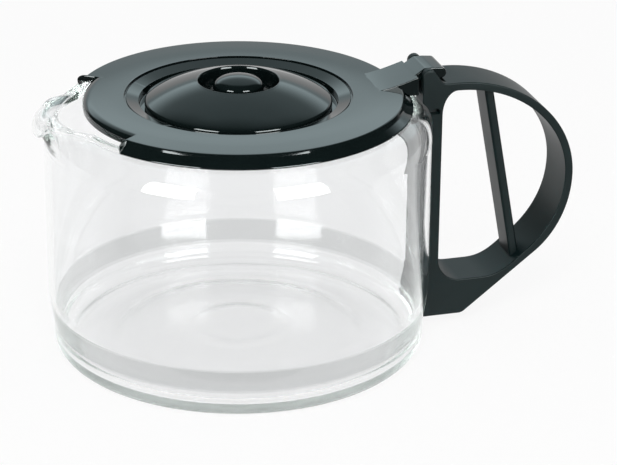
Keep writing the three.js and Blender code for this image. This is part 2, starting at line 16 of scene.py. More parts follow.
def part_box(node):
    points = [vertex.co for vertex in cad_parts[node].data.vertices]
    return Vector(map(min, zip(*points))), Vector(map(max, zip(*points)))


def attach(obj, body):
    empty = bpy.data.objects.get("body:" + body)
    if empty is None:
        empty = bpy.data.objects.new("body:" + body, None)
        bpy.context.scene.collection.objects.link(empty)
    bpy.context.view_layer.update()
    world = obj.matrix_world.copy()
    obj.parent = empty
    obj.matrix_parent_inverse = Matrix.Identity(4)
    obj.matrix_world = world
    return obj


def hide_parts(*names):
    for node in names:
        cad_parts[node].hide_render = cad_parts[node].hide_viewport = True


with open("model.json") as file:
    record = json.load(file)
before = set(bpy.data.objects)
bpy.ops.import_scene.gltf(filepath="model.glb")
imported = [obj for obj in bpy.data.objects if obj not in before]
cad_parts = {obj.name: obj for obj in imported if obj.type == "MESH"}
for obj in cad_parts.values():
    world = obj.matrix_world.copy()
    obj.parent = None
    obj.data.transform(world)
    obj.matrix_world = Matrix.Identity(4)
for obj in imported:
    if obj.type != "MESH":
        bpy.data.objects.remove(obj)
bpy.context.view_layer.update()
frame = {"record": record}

LOG = logging.getLogger("carafe")
MM = 0.001

Point = tuple[float, float]
Colour = tuple[float, float, float, float]
Operand = Union["Field", float]
Sockets = dict[Union[int, str], Any]

WHITE: Colour = (1.0, 1.0, 1.0, 1.0)
BLACK: Colour = (0.0, 0.0, 0.0, 1.0)
LIGHT_BOUNCES = 64
QUARTER_LEAD = 0.552
WELD = 0.002
TURNING_WELD = 0.001
INDEX_NUDGE = 0.25
SHARP_ANGLE = 32.0
NORMAL_WEIGHT = 80
SLAB_EDGE_STEPS = 3
ROUND_STEPS = 3
ROD_END_STEPS = 5
ROD_FACETS = 96
MATCH_DIGITS = 3
LEAST_RADIUS = 1.0
FOOT_PAD_DROP = 1.0
MIX_LOW, MIX_HIGH, MIX_RESULT = 6, 7, 2


class Body(Enum):
    """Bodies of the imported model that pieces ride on."""

    JUG = "jug"
    LID = "lid"


class Slot(Enum):
    """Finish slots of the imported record."""

    GLASS = "glass"
    LID = "lid_plastic"
    HANDLE = "handle_plastic"
    SILICONE = "silicone"
    PIN = "pin_plastic"


class Cut(Enum):
    """Ways in which one solid works on another."""

    JOIN = "UNION"
    REMOVE = "DIFFERENCE"


class Field:
    """A node's output that can stand in a Python expression.

    Args:
        builder: Adds the nodes of an expression to the socket's tree.
        socket: The output socket.
    """

    def __init__(self, builder: "NodeBuilder", socket: bpy.types.NodeSocket) -> None:
        """Keeps the builder and the socket."""
        self.builder = builder
        self.socket = socket

    def __add__(self, other: Operand) -> "Field":
        """Sum of two values."""
        return self.builder.math("ADD", self, other)

    def __radd__(self, other: Operand) -> "Field":
        """Sum with a plain number on the left."""
        return self.builder.math("ADD", other, self)

    def __sub__(self, other: Operand) -> "Field":
        """Difference of two values."""
        return self.builder.math("SUBTRACT", self, other)

    def __rsub__(self, other: Operand) -> "Field":
        """Difference with a plain number on the left."""
        return self.builder.math("SUBTRACT", other, self)

    def __mul__(self, other: Operand) -> "Field":
        """Product of two values."""
        return self.builder.math("MULTIPLY", self, other)

    def __rmul__(self, other: Operand) -> "Field":
        """Product with a plain number on the left."""
        return self.builder.math("MULTIPLY", other, self)

    def __truediv__(self, other: Operand) -> "Field":
        """Quotient of two values."""
        return self.builder.math("DIVIDE", self, other)

    def __rtruediv__(self, other: Operand) -> "Field":
        """Quotient with a plain number on the left."""
        return self.builder.math("DIVIDE", other, self)

    def __mod__(self, other: Operand) -> "Field":
        """Remainder that is never negative."""
        return self.builder.math("FLOORED_MODULO", self, other)

    def other(self, name: str) -> "Field":
        """Another output of the same node, by name."""
        return Field(self.builder, self.socket.node.outputs[name])


class NodeBuilder:
    """Adds nodes to one tree.

    Args:
        tree: A shader, world or geometry tree.
    """

    def __init__(self, tree: bpy.types.NodeTree) -> None:
        """Keeps the tree."""
        self.tree = tree

    def feed(self, node: bpy.types.Node, sockets: Sockets) -> None:
        """Sets or links a node's inputs.

        Args:
            node: The node.
            sockets: Values or fields by input name or number.
        """
        for key, value in sockets.items():
            if isinstance(value, Field):
                self.tree.links.new(value.socket, node.inputs[key])
            else:
                node.inputs[key].default_value = value

    def add(self, kind: str, settings: dict[str, Any] | None = None,
            sockets: Sockets | None = None) -> bpy.types.Node:
        """Adds a node.

        Args:
            kind: The node's type.
            settings: Its own settings, set first.
            sockets: Values or fields of its inputs.

        Returns:
            The node.
        """
        made = self.tree.nodes.new(kind)
        for key, value in (settings or {}).items():
            setattr(made, key, value)
        self.feed(made, sockets or {})
        return made

    def node(self, kind: str, settings: dict[str, Any] | None = None, sockets: Sockets | None = None,
             output: Union[int, str] = 0) -> Field:
        """One output of a new node, by name or number."""
        return Field(self, self.add(kind, settings, sockets).outputs[output])

    def math(self, operation: str, *operands: Operand) -> Field:
        """Math node on one or two values."""
        return self.node("ShaderNodeMath", {"operation": operation}, dict(enumerate(operands)))

    def ease(self, value: Operand, low: float, high: float) -> Field:
        """Smooth step from 0 at low to 1 at high."""
        return self.node("ShaderNodeMapRange", {"interpolation_type": "SMOOTHSTEP"},
                         {"Value": value, "From Min": low, "From Max": high})

    def blend(self, share: Operand, low: Any, high: Any) -> Field:
        """Colour between two colours, by the colour sockets of a Mix node."""
        return self.node("ShaderNodeMix", {"data_type": "RGBA"},
                         {0: share, MIX_LOW: low, MIX_HIGH: high}, MIX_RESULT)

    def place(self) -> Field:
        """Object coordinates, in metres."""
        return self.node("ShaderNodeTexCoord", output="Object")

    def parts(self, vector: Field) -> tuple[Field, Field, Field]:
        """X, Y and Z of a vector."""
        x = self.node("ShaderNodeSeparateXYZ", sockets={0: vector})
        return x, x.other("Y"), x.other("Z")

    def noise(self, vector: Field, size: float, detail: float = 2.0) -> Field:
        """Noise value.

        Args:
            vector: Coordinates in metres.
            size: Size of its patches in millimetres.
            detail: Number of finer layers.

        Returns:
            Values from 0 to 1.
        """
        sockets = {"Vector": vector, "Scale": 1 / (size * MM), "Detail": detail}
        return self.node("ShaderNodeTexNoise", sockets=sockets)

    def bump(self, height: Field, depth: float, under: Field | None = None) -> Field:
        """Normal of a surface with a height on it.

        Args:
            height: Values from 0 to 1.
            depth: Height of 1 in millimetres.
            under: A normal that this one adds to.

        Returns:
            The normal.
        """
        sockets = {"Height": height, "Distance": depth * MM, "Strength": 1.0}
        if under is not None:
            sockets["Normal"] = under
        return self.node("ShaderNodeBump", sockets=sockets)


def new_material(name: str) -> tuple[bpy.types.Material, NodeBuilder, bpy.types.Node]:
    """Makes a material with its surface shader.

    Args:
        name: The material's name.

    Returns:
        The material, its node builder and its surface shader node.
    """
    material = bpy.data.materials.new(name)
    material.use_nodes = True
    return material, NodeBuilder(material.node_tree), material.node_tree.nodes["Principled BSDF"]


@dataclass(frozen=True)
class GlassFinish:
    """Clear blown glass, with painted shade on the band above its foot: a grey tint standing in for the
    darkening that refraction brings there.
    """

    clear: Colour = (0.955, 0.958, 0.962, 1.0)
    # Grey tint painted over the band above the foot: painted shade, not a colour of the glass.
    band: Colour = (0.735, 0.745, 0.747, 1.0)
    band_low: float = 10.1
    band_high: float = 18.6
    band_edge: float = 0.25
    band_haze: float = 0.08
    wave_size: float = 34.0
    wave_depth: float = 0.03
    smear_size: float = 26.0
    smear_detail: float = 5.0
    smear_edge: Point = (0.52, 0.75)
    smear: float = 0.02
    roughness: float = 0.006
    index: float = 1.474
    green: Colour = (0.62, 0.9, 0.78, 1.0)
    green_density: float = 2.0
    floor_edge: Point = (50.0, 59.0)
    floor_haze: float = 0.14

    def material(self) -> bpy.types.Material:
        """Builds the material.

        Returns:
            The material.
        """
        material, build, shader = new_material("clear_glass")
        place = build.place()
        x, y, height = build.parts(place)
        beside = build.ease(build.math("SQRT", x * x + y * y), *(edge * MM for edge in self.floor_edge))
        # above and past mark the band, which gets the painted shade and a slightly rougher surface.
        above, past = (build.ease(height, (z - self.band_edge) * MM, (z + self.band_edge) * MM)
                       for z in (self.band_low, self.band_high))
        smear = build.ease(build.noise(place, self.smear_size, self.smear_detail), *self.smear_edge)
        build.feed(shader, {
            # Painted shade: the band's base colour is greyed to stand in for the darkening seen through it.
            "Base Color": build.blend(above - past, self.clear, self.band),
            "Roughness": (smear * self.smear + (1 - beside) * (1 - above) * self.floor_haze
                          + (above - past) * self.band_haze + self.roughness),
            "Normal": build.bump(build.noise(place, self.wave_size), self.wave_depth),
            "IOR": self.index,
            "Transmission Weight": 1.0,
        })
        sockets = {"Color": self.green, "Density": self.green_density}
        absorb = build.node("ShaderNodeVolumeAbsorption", sockets=sockets)
        build.feed(material.node_tree.nodes["Material Output"], {"Volume": absorb})
        return material


@dataclass(frozen=True)
class PlasticFinish:
    """Moulded dark plastic.

    The grain is the tool's texture, and the cloud is the slow change of gloss over a moulding.
    """

    name: str
    dark: Colour
    light: Colour
    roughness: float
    roughness_spread: float
    grain_size: float
    grain_depth: float
    grain_detail: float = 3.0
    cloud_size: float = 18.0
    cloud_detail: float = 4.0
    cloud_share: float = 0.6
    tone_edge: Point = (0.35, 0.7)
    flow_depth: float = 0.0
    index: float = 1.55
    gloss: float = 0.5
    mirror: Colour = (0.92, 1.0, 1.0, 1.0)

    def material(self) -> bpy.types.Material:
        """Builds the material.

        Returns:
            The material.
        """
        material, build, shader = new_material(self.name)
        place = build.place()
        cloud = build.noise(place, self.cloud_size, self.cloud_detail)
        grain = build.noise(place, self.grain_size, self.grain_detail)
        flow = build.bump(cloud, self.flow_depth)
        tone = cloud * self.cloud_share + grain * (1 - self.cloud_share)
        build.feed(shader, {
            "Base Color": build.blend(build.ease(tone, *self.tone_edge), self.dark, self.light),
            "Roughness": cloud * self.roughness_spread + (self.roughness - self.roughness_spread / 2),
            "Normal": build.bump(grain, self.grain_depth, flow),
            "IOR": self.index,
            "Specular IOR Level": self.gloss,
            "Specular Tint": self.mirror,
        })
        return material


@dataclass(frozen=True)
class SiliconeFinish:
    """Cloudy silicone adhesive."""

    milky: Colour = (0.72, 0.75, 0.74, 1.0)
    clear: Colour = (0.86, 0.88, 0.87, 1.0)
    lump_size: float = 5.0
    lump_detail: float = 3.0
    lump_depth: float = 0.25
    roughness: float = 0.28
    roughness_spread: float = 0.2
    index: float = 1.41
    transmission: float = 0.55

    def material(self) -> bpy.types.Material:
        """Builds the material.

        Returns:
            The material.
        """
        material, build, shader = new_material("cloudy_silicone")
        lumps = build.noise(build.place(), self.lump_size, self.lump_detail)
        build.feed(shader, {
            "Base Color": build.blend(lumps, self.milky, self.clear),
            "Roughness": lumps * self.roughness_spread + self.roughness,
            "Normal": build.bump(lumps, self.lump_depth),
            "IOR": self.index,
            "Transmission Weight": self.transmission,
        })
        return material


def bezier(start: Point, lead: Point, trail: Point, end: Point, steps: int) -> list[Point]:
    """Points of a cubic curve, without its first point.

    Args:
        start: First point.
        lead: Control point that the curve leaves towards.
        trail: Control point that it arrives from.
        end: Last point.
        steps: Number of points.

    Returns:
        The points.
    """
    t = np.linspace(0, 1, steps + 1)[1:, None]
    corners = np.array([start, lead, trail, end])
    curve = ((1 - t) ** 3 * corners[0] + 3 * (1 - t) ** 2 * t * corners[1]
             + 3 * (1 - t) * t ** 2 * corners[2] + t ** 3 * corners[3])
    return [tuple(p) for p in curve]


def arc(centre: Point, radii: Point, start: float, end: float, steps: int) -> list[Point]:
    """Points of an arc, with both its ends.

    Args:
        centre: Its centre.
        radii: Half its width and half its height.
        start: First angle.
        end: Last angle.
        steps: Number of steps.

    Returns:
        The points.
    """
    return [(centre[0] + radii[0] * math.cos(a), centre[1] + radii[1] * math.sin(a))
            for a in np.linspace(start, end, steps + 1)]


def round_corner(start: Point, corner: Point, end: Point, steps: int) -> list[Point]:
    """Quarter round inside a corner, without its first point.

    Args:
        start: First point, on the side before the corner.
        corner: The corner.
        end: Last point, on the side after it.
        steps: Number of points.

    Returns:
        The points.
    """
    lead = tuple(np.array(start) + QUARTER_LEAD * (np.array(corner) - start))
    trail = tuple(np.array(end) + QUARTER_LEAD * (np.array(corner) - end))
    return bezier(start, lead, trail, end, steps)


def eased(outline: Sequence[Point], radius: float, steps: int = 4) -> list[Point]:
    """Outline with its inner corners rounded.

    Args:
        outline: Open run of points.
        radius: Most that a corner is cut back along each side.
        steps: Points on each round.

    Returns:
        The rounded run, with the same two ends.
    """
    corners = np.array(outline, float)
    run = [outline[0]]
    for before, corner, after in zip(corners, corners[1:], corners[2:]):
        back, ahead = before - corner, after - corner
        cut = min(radius, np.linalg.norm(back) / 2, np.linalg.norm(ahead) / 2)
        start = corner + back / np.linalg.norm(back) * cut
        end = corner + ahead / np.linalg.norm(ahead) * cut
        run.append(tuple(start))
        run += round_corner(tuple(start), tuple(corner), tuple(end), steps)
    run.append(outline[-1])
    return run


def smoothstep(value: Union[float, np.ndarray], low: float, high: float) -> np.ndarray:
    """Smooth step from 0 at low to 1 at high."""
    t = np.clip((value - low) / (high - low), 0, 1)
    return t * t * (3 - 2 * t)


def mesh_object(name: str, points: Iterable[Sequence[float]],
                faces: Iterable[Sequence[int]]) -> bpy.types.Object:
    """Makes a mesh object from points in millimetres.

    Args:
        name: Its name.
        points: Corners in millimetres.
        faces: Corner numbers of each face.

    Returns:
        The object, in the scene.
    """
    mesh = bpy.data.meshes.new(name)
    mesh.from_pydata([tuple(c * MM for c in p) for p in points], [], [tuple(f) for f in faces])
    piece = bpy.data.objects.new(name, mesh)
    bpy.context.collection.objects.link(piece)
    return piece


def bake(piece: bpy.types.Object) -> None:
    """Applies a piece's modifiers to its mesh.

    Args:
        piece: The piece.
    """
    graph = bpy.context.evaluated_depsgraph_get()
    mesh = bpy.data.meshes.new_from_object(piece.evaluated_get(graph))
    piece.modifiers.clear()
    piece.data = mesh


def clean(piece: bpy.types.Object) -> None:
    """Merges doubled corners and turns the faces outwards.

    Args:
        piece: A closed mesh.
    """
    work = bmesh.new()
    work.from_mesh(piece.data)
    bmesh.ops.remove_doubles(work, verts=work.verts, dist=WELD * MM)
    bmesh.ops.dissolve_degenerate(work, edges=work.edges, dist=WELD * MM / 2)
    bmesh.ops.recalc_face_normals(work, faces=work.faces)
    work.to_mesh(piece.data)
    work.free()


def loft(name: str, sections: Sequence[Sequence[Sequence[float]]], closed: bool) -> bpy.types.Object:
    """Solid through closed sections with as many points each.

    Args:
        name: Its name.
        sections: Points in millimetres, section by section.
        closed: Whether the last section joins the first. If not, each end gets a face.

    Returns:
        A closed piece.
    """
    rows, count = len(sections), len(sections[0])
    points = [point for section in sections for point in section]
    faces = [] if closed else [range(count), range(len(points) - 1, len(points) - count - 1, -1)]
    for row in range(rows if closed else rows - 1):
        here, there = row * count, (row + 1) % rows * count
        for k in range(count):
            beside = (k + 1) % count
            faces.append((here + k, here + beside, there + beside, there + k))
    piece = mesh_object(name, points, faces)
    clean(piece)
    return piece


def combine(piece: bpy.types.Object, tool: bpy.types.Object, cut: Cut) -> None:
    """Joins a tool to a piece or removes it from the piece, and drops the tool.

    Args:
        piece: The piece.
        tool: A closed mesh.
        cut: What the tool does.
    """
    work = piece.modifiers.new("cut", "BOOLEAN")
    work.operation = cut.value
    work.solver = "MANIFOLD"
    work.object = tool
    bake(piece)
    bpy.data.objects.remove(tool)


def shade(piece: bpy.types.Object, sharp: float = SHARP_ANGLE) -> None:
    """Smooth shading that keeps sharp edges and flat faces.

    Args:
        piece: The piece.
        sharp: Angle in degrees from which an edge is sharp.
    """
    piece.data.shade_smooth()
    piece.data.set_sharp_from_angle(angle=math.radians(sharp))
    weigh = piece.modifiers.new("weigh", "WEIGHTED_NORMAL")
    weigh.keep_sharp = True
    weigh.weight = NORMAL_WEIGHT
    bake(piece)


class PieceTree:
    """Geometry Nodes tree with named inputs that makes a piece.

    Args:
        name: The tree's name.
        inputs: Kinds of its inputs by name.
    """

    def __init__(self, name: str, inputs: dict[str, str]) -> None:
        """Makes the tree and its sockets."""
        self.tree = bpy.data.node_groups.new(name, "GeometryNodeTree")
        self.keys: dict[str, str] = {}
        face = self.tree.interface
        for label, kind in inputs.items():
            socket = face.new_socket(label, in_out="INPUT", socket_type="NodeSocket" + kind)
            self.keys[label] = socket.identifier
        face.new_socket("Piece", in_out="OUTPUT", socket_type="NodeSocketGeometry")

    def close(self, build: NodeBuilder, geometry: Field, finish: Field) -> None:
        """Makes the geometry real, dresses it and hands it out.

        Args:
            build: The tree's builder.
            geometry: What the tree made.
            finish: Its material input.
        """
        solid = build.node("GeometryNodeRealizeInstances", sockets={0: geometry})
        dressed = build.node("GeometryNodeSetMaterial", sockets={0: solid, "Material": finish})
        build.add("NodeGroupOutput", sockets={0: dressed})

    def apply(self, piece: bpy.types.Object, values: dict[str, Any]) -> None:
        """Runs the tree on a piece and keeps the result as its mesh.

        Args:
            piece: The piece.
            values: Values of the tree's inputs by name.
        """
        work = piece.modifiers.new("tree", "NODES")
        work.node_group = self.tree
        for label, value in values.items():
            work[self.keys[label]] = value
        bake(piece)


class TurningTree(PieceTree):
    """Tree that turns an open outline round the Z axis."""

    def __init__(self) -> None:
        """Adds the nodes: a grid of outline copies, bent round the axis and welded."""
        super().__init__("turned_piece", {
            "Outline": "Geometry", "Facets": "Int", "Weld": "Float", "Finish": "Material"})
        build = NodeBuilder(self.tree)
        outline = build.node("NodeGroupInput", output="Outline")
        facets, weld = outline.other("Facets"), outline.other("Weld")
        count = build.node("GeometryNodeAttributeDomainSize", {"component": "MESH"}, {0: outline},
                           "Point Count")
        grid = build.node("GeometryNodeMeshGrid", sockets={"Vertices X": facets + 1, "Vertices Y": count})
        index = build.node("GeometryNodeInputIndex")
        # The nudge keeps a remainder just under a whole number from being read as the number before it.
        along = index % count + INDEX_NUDGE
        turn = build.math("FLOOR", index / count) / facets * (2 * math.pi)
        sample = build.node("GeometryNodeSampleIndex", {"data_type": "FLOAT_VECTOR", "domain": "POINT"}, {
            "Geometry": outline, "Value": build.node("GeometryNodeInputPosition"), "Index": along})
        radius, _, height = build.parts(sample)
        spot = build.node("ShaderNodeCombineXYZ", sockets={
            0: radius * build.math("COSINE", turn), 1: radius * build.math("SINE", turn), 2: height})
        bent = build.node("GeometryNodeSetPosition", sockets={"Geometry": grid, "Position": spot})
        welded = build.node("GeometryNodeMergeByDistance", sockets={"Geometry": bent, "Distance": weld})
        self.close(build, welded, outline.other("Finish"))

    def turn(self, name: str, outline: Sequence[Point], facets: int,
             finish: bpy.types.Material) -> bpy.types.Object:
        """Turns an outline.

        Args:
            name: The piece's name.
            outline: Points of radius and height in millimetres, from end to end.
            facets: Number of steps round the axis.
            finish: Its material.

        Returns:
            A closed piece.
        """
        piece = bpy.data.objects.new(name, bpy.data.meshes.new(name))
        points = [(r * MM, 0.0, z * MM) for r, z in outline]
        piece.data.from_pydata(points, [(i, i + 1) for i in range(len(points) - 1)], [])
        bpy.context.collection.objects.link(piece)
        self.apply(piece, {"Facets": facets, "Weld": TURNING_WELD * MM, "Finish": finish})
        clean(piece)
        return piece


class SpokeTree(PieceTree):
    """Tree that sets copies of one spoke round the Z axis."""

    def __init__(self) -> None:
        """Adds the nodes: copies of the spoke on one spot, each turned further."""
        super().__init__("spoke_ring", {"Spoke": "Geometry", "Count": "Int", "Finish": "Material"})
        build = NodeBuilder(self.tree)
        spoke = build.node("NodeGroupInput", output="Spoke")
        count = spoke.other("Count")
        line = build.node("GeometryNodeMeshLine", sockets={"Count": count, "Offset": (0.0, 0.0, 0.0)})
        turn = build.node("GeometryNodeInputIndex") / count * (2 * math.pi)
        angles = build.node("ShaderNodeCombineXYZ", sockets={2: turn})
        copies = build.node("GeometryNodeInstanceOnPoints", sockets={
            "Points": line, "Instance": spoke, "Rotation": angles})
        self.close(build, copies, spoke.other("Finish"))

    def spread(self, spoke: bpy.types.Object, count: int, finish: bpy.types.Material) -> None:
        """Turns one spoke into a ring of them, in place."""
        self.apply(spoke, {"Count": count, "Finish": finish})


def slab(name: str, outlines: Sequence[Sequence[Point]], width: float, edge: float) -> bpy.types.Object:
    """Flat moulding in the handle's plane with rounded edges.

    Args:
        name: Its name.
        outlines: Closed outlines in (x, height), the first the outside and the others holes.
        width: Size along Y in millimetres.
        edge: Radius of its edges.

    Returns:
        A closed piece centred on the plane.
    """
    curve = bpy.data.curves.new(name, "CURVE")
    curve.dimensions = "2D"
    curve.fill_mode = "BOTH"
    curve.extrude = (width / 2 - edge) * MM
    curve.bevel_depth = edge * MM
    curve.bevel_resolution = SLAB_EDGE_STEPS
    curve.offset = -edge * MM
    for outline in outlines:
        spline = curve.splines.new("POLY")
        spline.points.add(len(outline) - 1)
        for spot, (x, z) in zip(spline.points, outline):
            spot.co = (x * MM, z * MM, 0, 1)
        spline.use_cyclic_u = True
    flat = bpy.data.objects.new(name + "_outline", curve)
    bpy.context.collection.objects.link(flat)
    mesh = bpy.data.meshes.new_from_object(flat.evaluated_get(bpy.context.evaluated_depsgraph_get()))
    bpy.data.objects.remove(flat)
    mesh.transform(Matrix.Rotation(math.pi / 2, 4, "X"))
    piece = bpy.data.objects.new(name, mesh)
    bpy.context.collection.objects.link(piece)
    clean(piece)
    return piece


def cross_rod(turning: TurningTree, place: Point, radius: float, length: float,
              finish: bpy.types.Material, crown: float = 0.0, shift: float = 0.0) -> bpy.types.Object:
    """Rod along Y at a place in the handle's plane.

    Args:
        turning: The tree that turns it.
        place: Its x and height in millimetres.
        radius: Its radius.
        length: Its length.
        finish: Its material.
        crown: How far each end is rounded.
        shift: Place of its middle along Y.

    Returns:
        The rod.
    """
    half = length / 2
    inset = crown / 2
    end = arc((radius - inset, half - crown), (inset, crown), 0, math.pi / 2, ROD_END_STEPS)
    outline = [(0.0, -half)] + [(r, -h) for r, h in end[::-1]] + end + [(0.0, half)]
    rod = turning.turn("rod", outline, ROD_FACETS, finish)
    move = Matrix.Translation((place[0] * MM, shift * MM, place[1] * MM))
    rod.data.transform(move @ Matrix.Rotation(math.pi / 2, 4, "X"))
    return rod


def finish_piece(piece: bpy.types.Object, finish: bpy.types.Material, body: Body,
                 node: str) -> None:
    """Dresses a piece and hangs it on its body in place of its node.

    Args:
        piece: The piece.
        finish: Its material.
        body: The body that it rides on.
        node: The node that it stands for.
    """
    piece.data.materials.clear()
    piece.data.materials.append(finish)
    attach(piece, body.value)
    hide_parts(node)
    LOG.info("%s: %d faces on %s", piece.name, len(piece.data.polygons), body.value)


@dataclass
class GlassJug:
    """Blown jug with a pushed-up floor, a slimmer foot, a round shoulder, a short neck and a pulled spout."""

    body_radius: float
    rim_height: float = 92.6
    wall: float = 2.0
    floor: float = 3.0
    floor_steps: int = 36
    foot_inset: float = 1.8
    foot_wall: float = 2.9
    band_low: float = 10.0
    band_high: float = 18.6
    band_set: float = 0.55
    band_lip: Point = (0.12, 0.3)
    waist_top: float = 22.4
    waist_run: float = 6.0
    wall_ease: float = 0.9
    wall_steps: int = 9
    heel_radius: float = 5.5
    heel_steps: int = 12
    floor_fillet: float = 6.6
    fillet_steps: int = 14
    shoulder_drop: float = 12.6
    shoulder_upright: float = 0.5
    shoulder_slope: float = 0.3
    shoulder_steps: int = 28
    neck_inset: float = 9.0
    neck_height: float = 1.8
    crease_drop: float = 1.0
    push_radius: float = 47.0
    push_run: float = 6.0
    push_step: float = 0.55
    push_height: float = 2.6
    dimple_radius: float = 20.0
    dimple_run: float = 5.0
    dimple_height: float = 0.4
    spout_root: Point = (65.2, 90.0)
    spout_flare: tuple[Point, Point, Point] = ((66.4, 92.4), (69.0, 93.2), (72.4, 92.9))
    spout_curl: tuple[Point, Point, Point] = ((66.8, 93.2), (73.2, 94.4), (73.4, 87.0))
    spout_start: float = 1.0
    spout_turn: float = math.radians(4)
    spout_half_angle: float = math.radians(22.5)
    spout_fullness: float = 2.4
    spout_blend: float = 1.5
    curl_inner: float = math.radians(4)
    curl_outer: float = math.radians(14)
    crowding: float = 0.6
    lip_steps: int = 14
    rim_steps: int = 12
    facets: int = 300
    cutter_below: float = 1.0
    cutter_above: float = 20.0
    cutter_steps: int = 8

    @property
    def foot_radius(self) -> float:
        """Radius of the straight foot."""
        return self.body_radius - self.foot_inset

    @property
    def neck_radius(self) -> float:
        """Outside radius of the neck."""
        return self.body_radius - self.neck_inset

    @property
    def shoulder_z(self) -> float:
        """Top of the straight wall."""
        return self.rim_height - self.shoulder_drop

    @property
    def neck_z(self) -> float:
        """Crease at the foot of the neck."""
        return self.rim_height - self.neck_height

    def push(self, radius: float) -> float:
        """Height of the pushed-up floor.

        Args:
            radius: Distance from the axis.

        Returns:
            The height there.
        """
        share = min(radius / self.push_radius, 1.0)
        step = smoothstep(-radius, -self.push_radius, -self.push_radius + self.push_run)
        dimple = smoothstep(-radius, -self.dimple_radius, -self.dimple_radius + self.dimple_run)
        rise = self.push_height * (1 - share ** 2)
        return float(rise + self.push_step * step + self.dimple_height * dimple)

    def wall_run(self, inset: float, foot_inset: float, foot_top: float, crease: float) -> list[Point]:
        """Wall from the top of the foot up to the neck's crease.

        Args:
            inset: Distance behind the outside of the body.
            foot_inset: Distance behind the outside of the foot.
            foot_top: Height where the wall starts.
            crease: Height of the neck's crease.

        Returns:
            Outline points, without the first.
        """
        foot, body = self.foot_radius - foot_inset, self.body_radius - inset
        neck, band = self.neck_radius - inset, body - self.band_set
        upright = (crease - self.shoulder_z) * self.shoulder_upright
        straight = self.waist_top + self.waist_run
        run = eased([(foot, foot_top), (foot, self.band_low), (band, self.band_high),
                     (band + self.band_lip[0], self.band_high + self.band_lip[1]), (body, self.waist_top),
                     (body, straight)], self.wall_ease)[1:]
        run += [(body, z) for z in np.linspace(straight, self.shoulder_z, self.wall_steps + 1)[1:]]
        run += bezier((body, self.shoulder_z), (body, self.shoulder_z + upright),
                      (body - self.neck_inset * self.shoulder_slope, crease), (neck, crease),
                      self.shoulder_steps)
        return run

    def lip(self) -> list[Point]:
        """Neck and rounded rim.

        Returns:
            Outline points from the crease outside to the crease inside.
        """
        half = self.wall / 2
        top, middle = self.rim_height - half, self.neck_radius - half
        run = [(self.neck_radius, z) for z in np.linspace(self.neck_z, top, self.lip_steps)]
        run += arc((middle, top), (half, half), 0, math.pi, self.rim_steps)[1:-1]
        return run + [(self.neck_radius - self.wall, z)
                      for z in np.linspace(top, self.neck_z - self.crease_drop, self.lip_steps)]

    def drawn_lip(self, path: Sequence[Point]) -> np.ndarray:
        """Lip drawn out along a curve from the spout's root, point for point with the plain lip.

        Args:
            path: The curve's last three control points.

        Returns:
            Points of radius and height.
        """
        half = self.wall / 2
        centre = np.array([self.spout_root] + bezier(self.spout_root, *path, self.lip_steps - 1))
        way = np.gradient(centre, axis=0)
        way /= np.linalg.norm(way, axis=1)[:, None]
        side = np.stack([-way[:, 1], way[:, 0]], 1)
        turns = np.linspace(0, math.pi, self.rim_steps + 1)[1:-1, None]
        rim = centre[-1] + half * (way[-1] * np.sin(turns) - side[-1] * np.cos(turns))
        return np.concatenate([centre - half * side, rim, (centre + half * side)[::-1]])

    def runs(self) -> tuple[list[Point], list[Point], list[Point]]:
        """Outline of the jug in three runs.

        Returns:
            The outside from the axis up to the lip, the lip, and the inside down to the axis.
        """
        foot = self.foot_radius
        base = [(r, self.push(r)) for r in np.linspace(0, foot - self.heel_radius, self.floor_steps)]
        heel = round_corner(base[-1], (foot, 0.0), (foot, self.heel_radius), self.heel_steps)
        outside = base + heel + self.wall_run(0, 0, self.heel_radius, self.neck_z)
        bore = foot - self.foot_wall
        fillet_top = self.floor + self.floor_fillet
        inner = [(r, self.floor + self.push(r))
                 for r in np.linspace(0, bore - self.floor_fillet, self.floor_steps)]
        inner += round_corner(inner[-1], (bore, self.floor), (bore, fillet_top), self.fillet_steps)
        inner += self.wall_run(self.wall, self.foot_wall, fillet_top, self.neck_z - self.crease_drop)
        return outside[:-1], self.lip(), inner[-2::-1]

    def moves(self, path: Sequence[Point]) -> np.ndarray:
        """How each point of the outline moves where the spout is drawn out along a path.

        Args:
            path: The curve's last three control points.

        Returns:
            Steps in radius and height.
        """
        outside, lip, inside = (np.array(run) for run in self.runs())
        drawn = self.drawn_lip(path) - lip
        low = self.shoulder_z + self.spout_start
        below, within = (smoothstep(run[:, 1], low, run[:, 1].max())[:, None] for run in (outside, inside))
        return np.concatenate([below * drawn[0], drawn, within * drawn[-1]])

    def pull_spout(self, piece: bpy.types.Object) -> None:
        """Crowds the facets towards -X, draws the lip out there into the spout and curls its tip over.

        Args:
            piece: The turned jug.
        """
        spots = np.empty(len(piece.data.vertices) * 3)
        piece.data.vertices.foreach_get("co", spots)
        spots = spots.reshape(-1, 3) / MM
        radius = np.hypot(spots[:, 0], spots[:, 1])
        outline = np.array(sum(self.runs(), []))
        rounded = np.round(np.stack([radius, spots[:, 2]], 1), MATCH_DIGITS)
        keys, back = np.unique(rounded, axis=0, return_inverse=True)
        nearest = np.linalg.norm(keys[:, None, :] - outline[None, :, :], axis=2).argmin(1)[back.ravel()]
        around = np.arctan2(spots[:, 1], -spots[:, 0]) - self.spout_turn
        around -= self.crowding * np.sin(around)
        spots[:, 0] = -radius * np.cos(around + self.spout_turn)
        spots[:, 1] = radius * np.sin(around + self.spout_turn)
        turn = np.abs(around)
        share = np.minimum(turn / self.spout_half_angle, 1)[:, None]
        pull = (1 - share ** self.spout_fullness) ** self.spout_blend
        curl = smoothstep(-turn, -self.curl_outer, -self.curl_inner)[:, None]
        flare, curled = (self.moves(path)[nearest] for path in (self.spout_flare, self.spout_curl))
        move = pull * (flare + curl * (curled - flare))
        spots[:, :2] *= (1 + move[:, :1] / np.maximum(radius, LEAST_RADIUS)[:, None])
        spots[:, 2] += move[:, 1]
        piece.data.vertices.foreach_set("co", (spots * MM).ravel())
        piece.data.update()

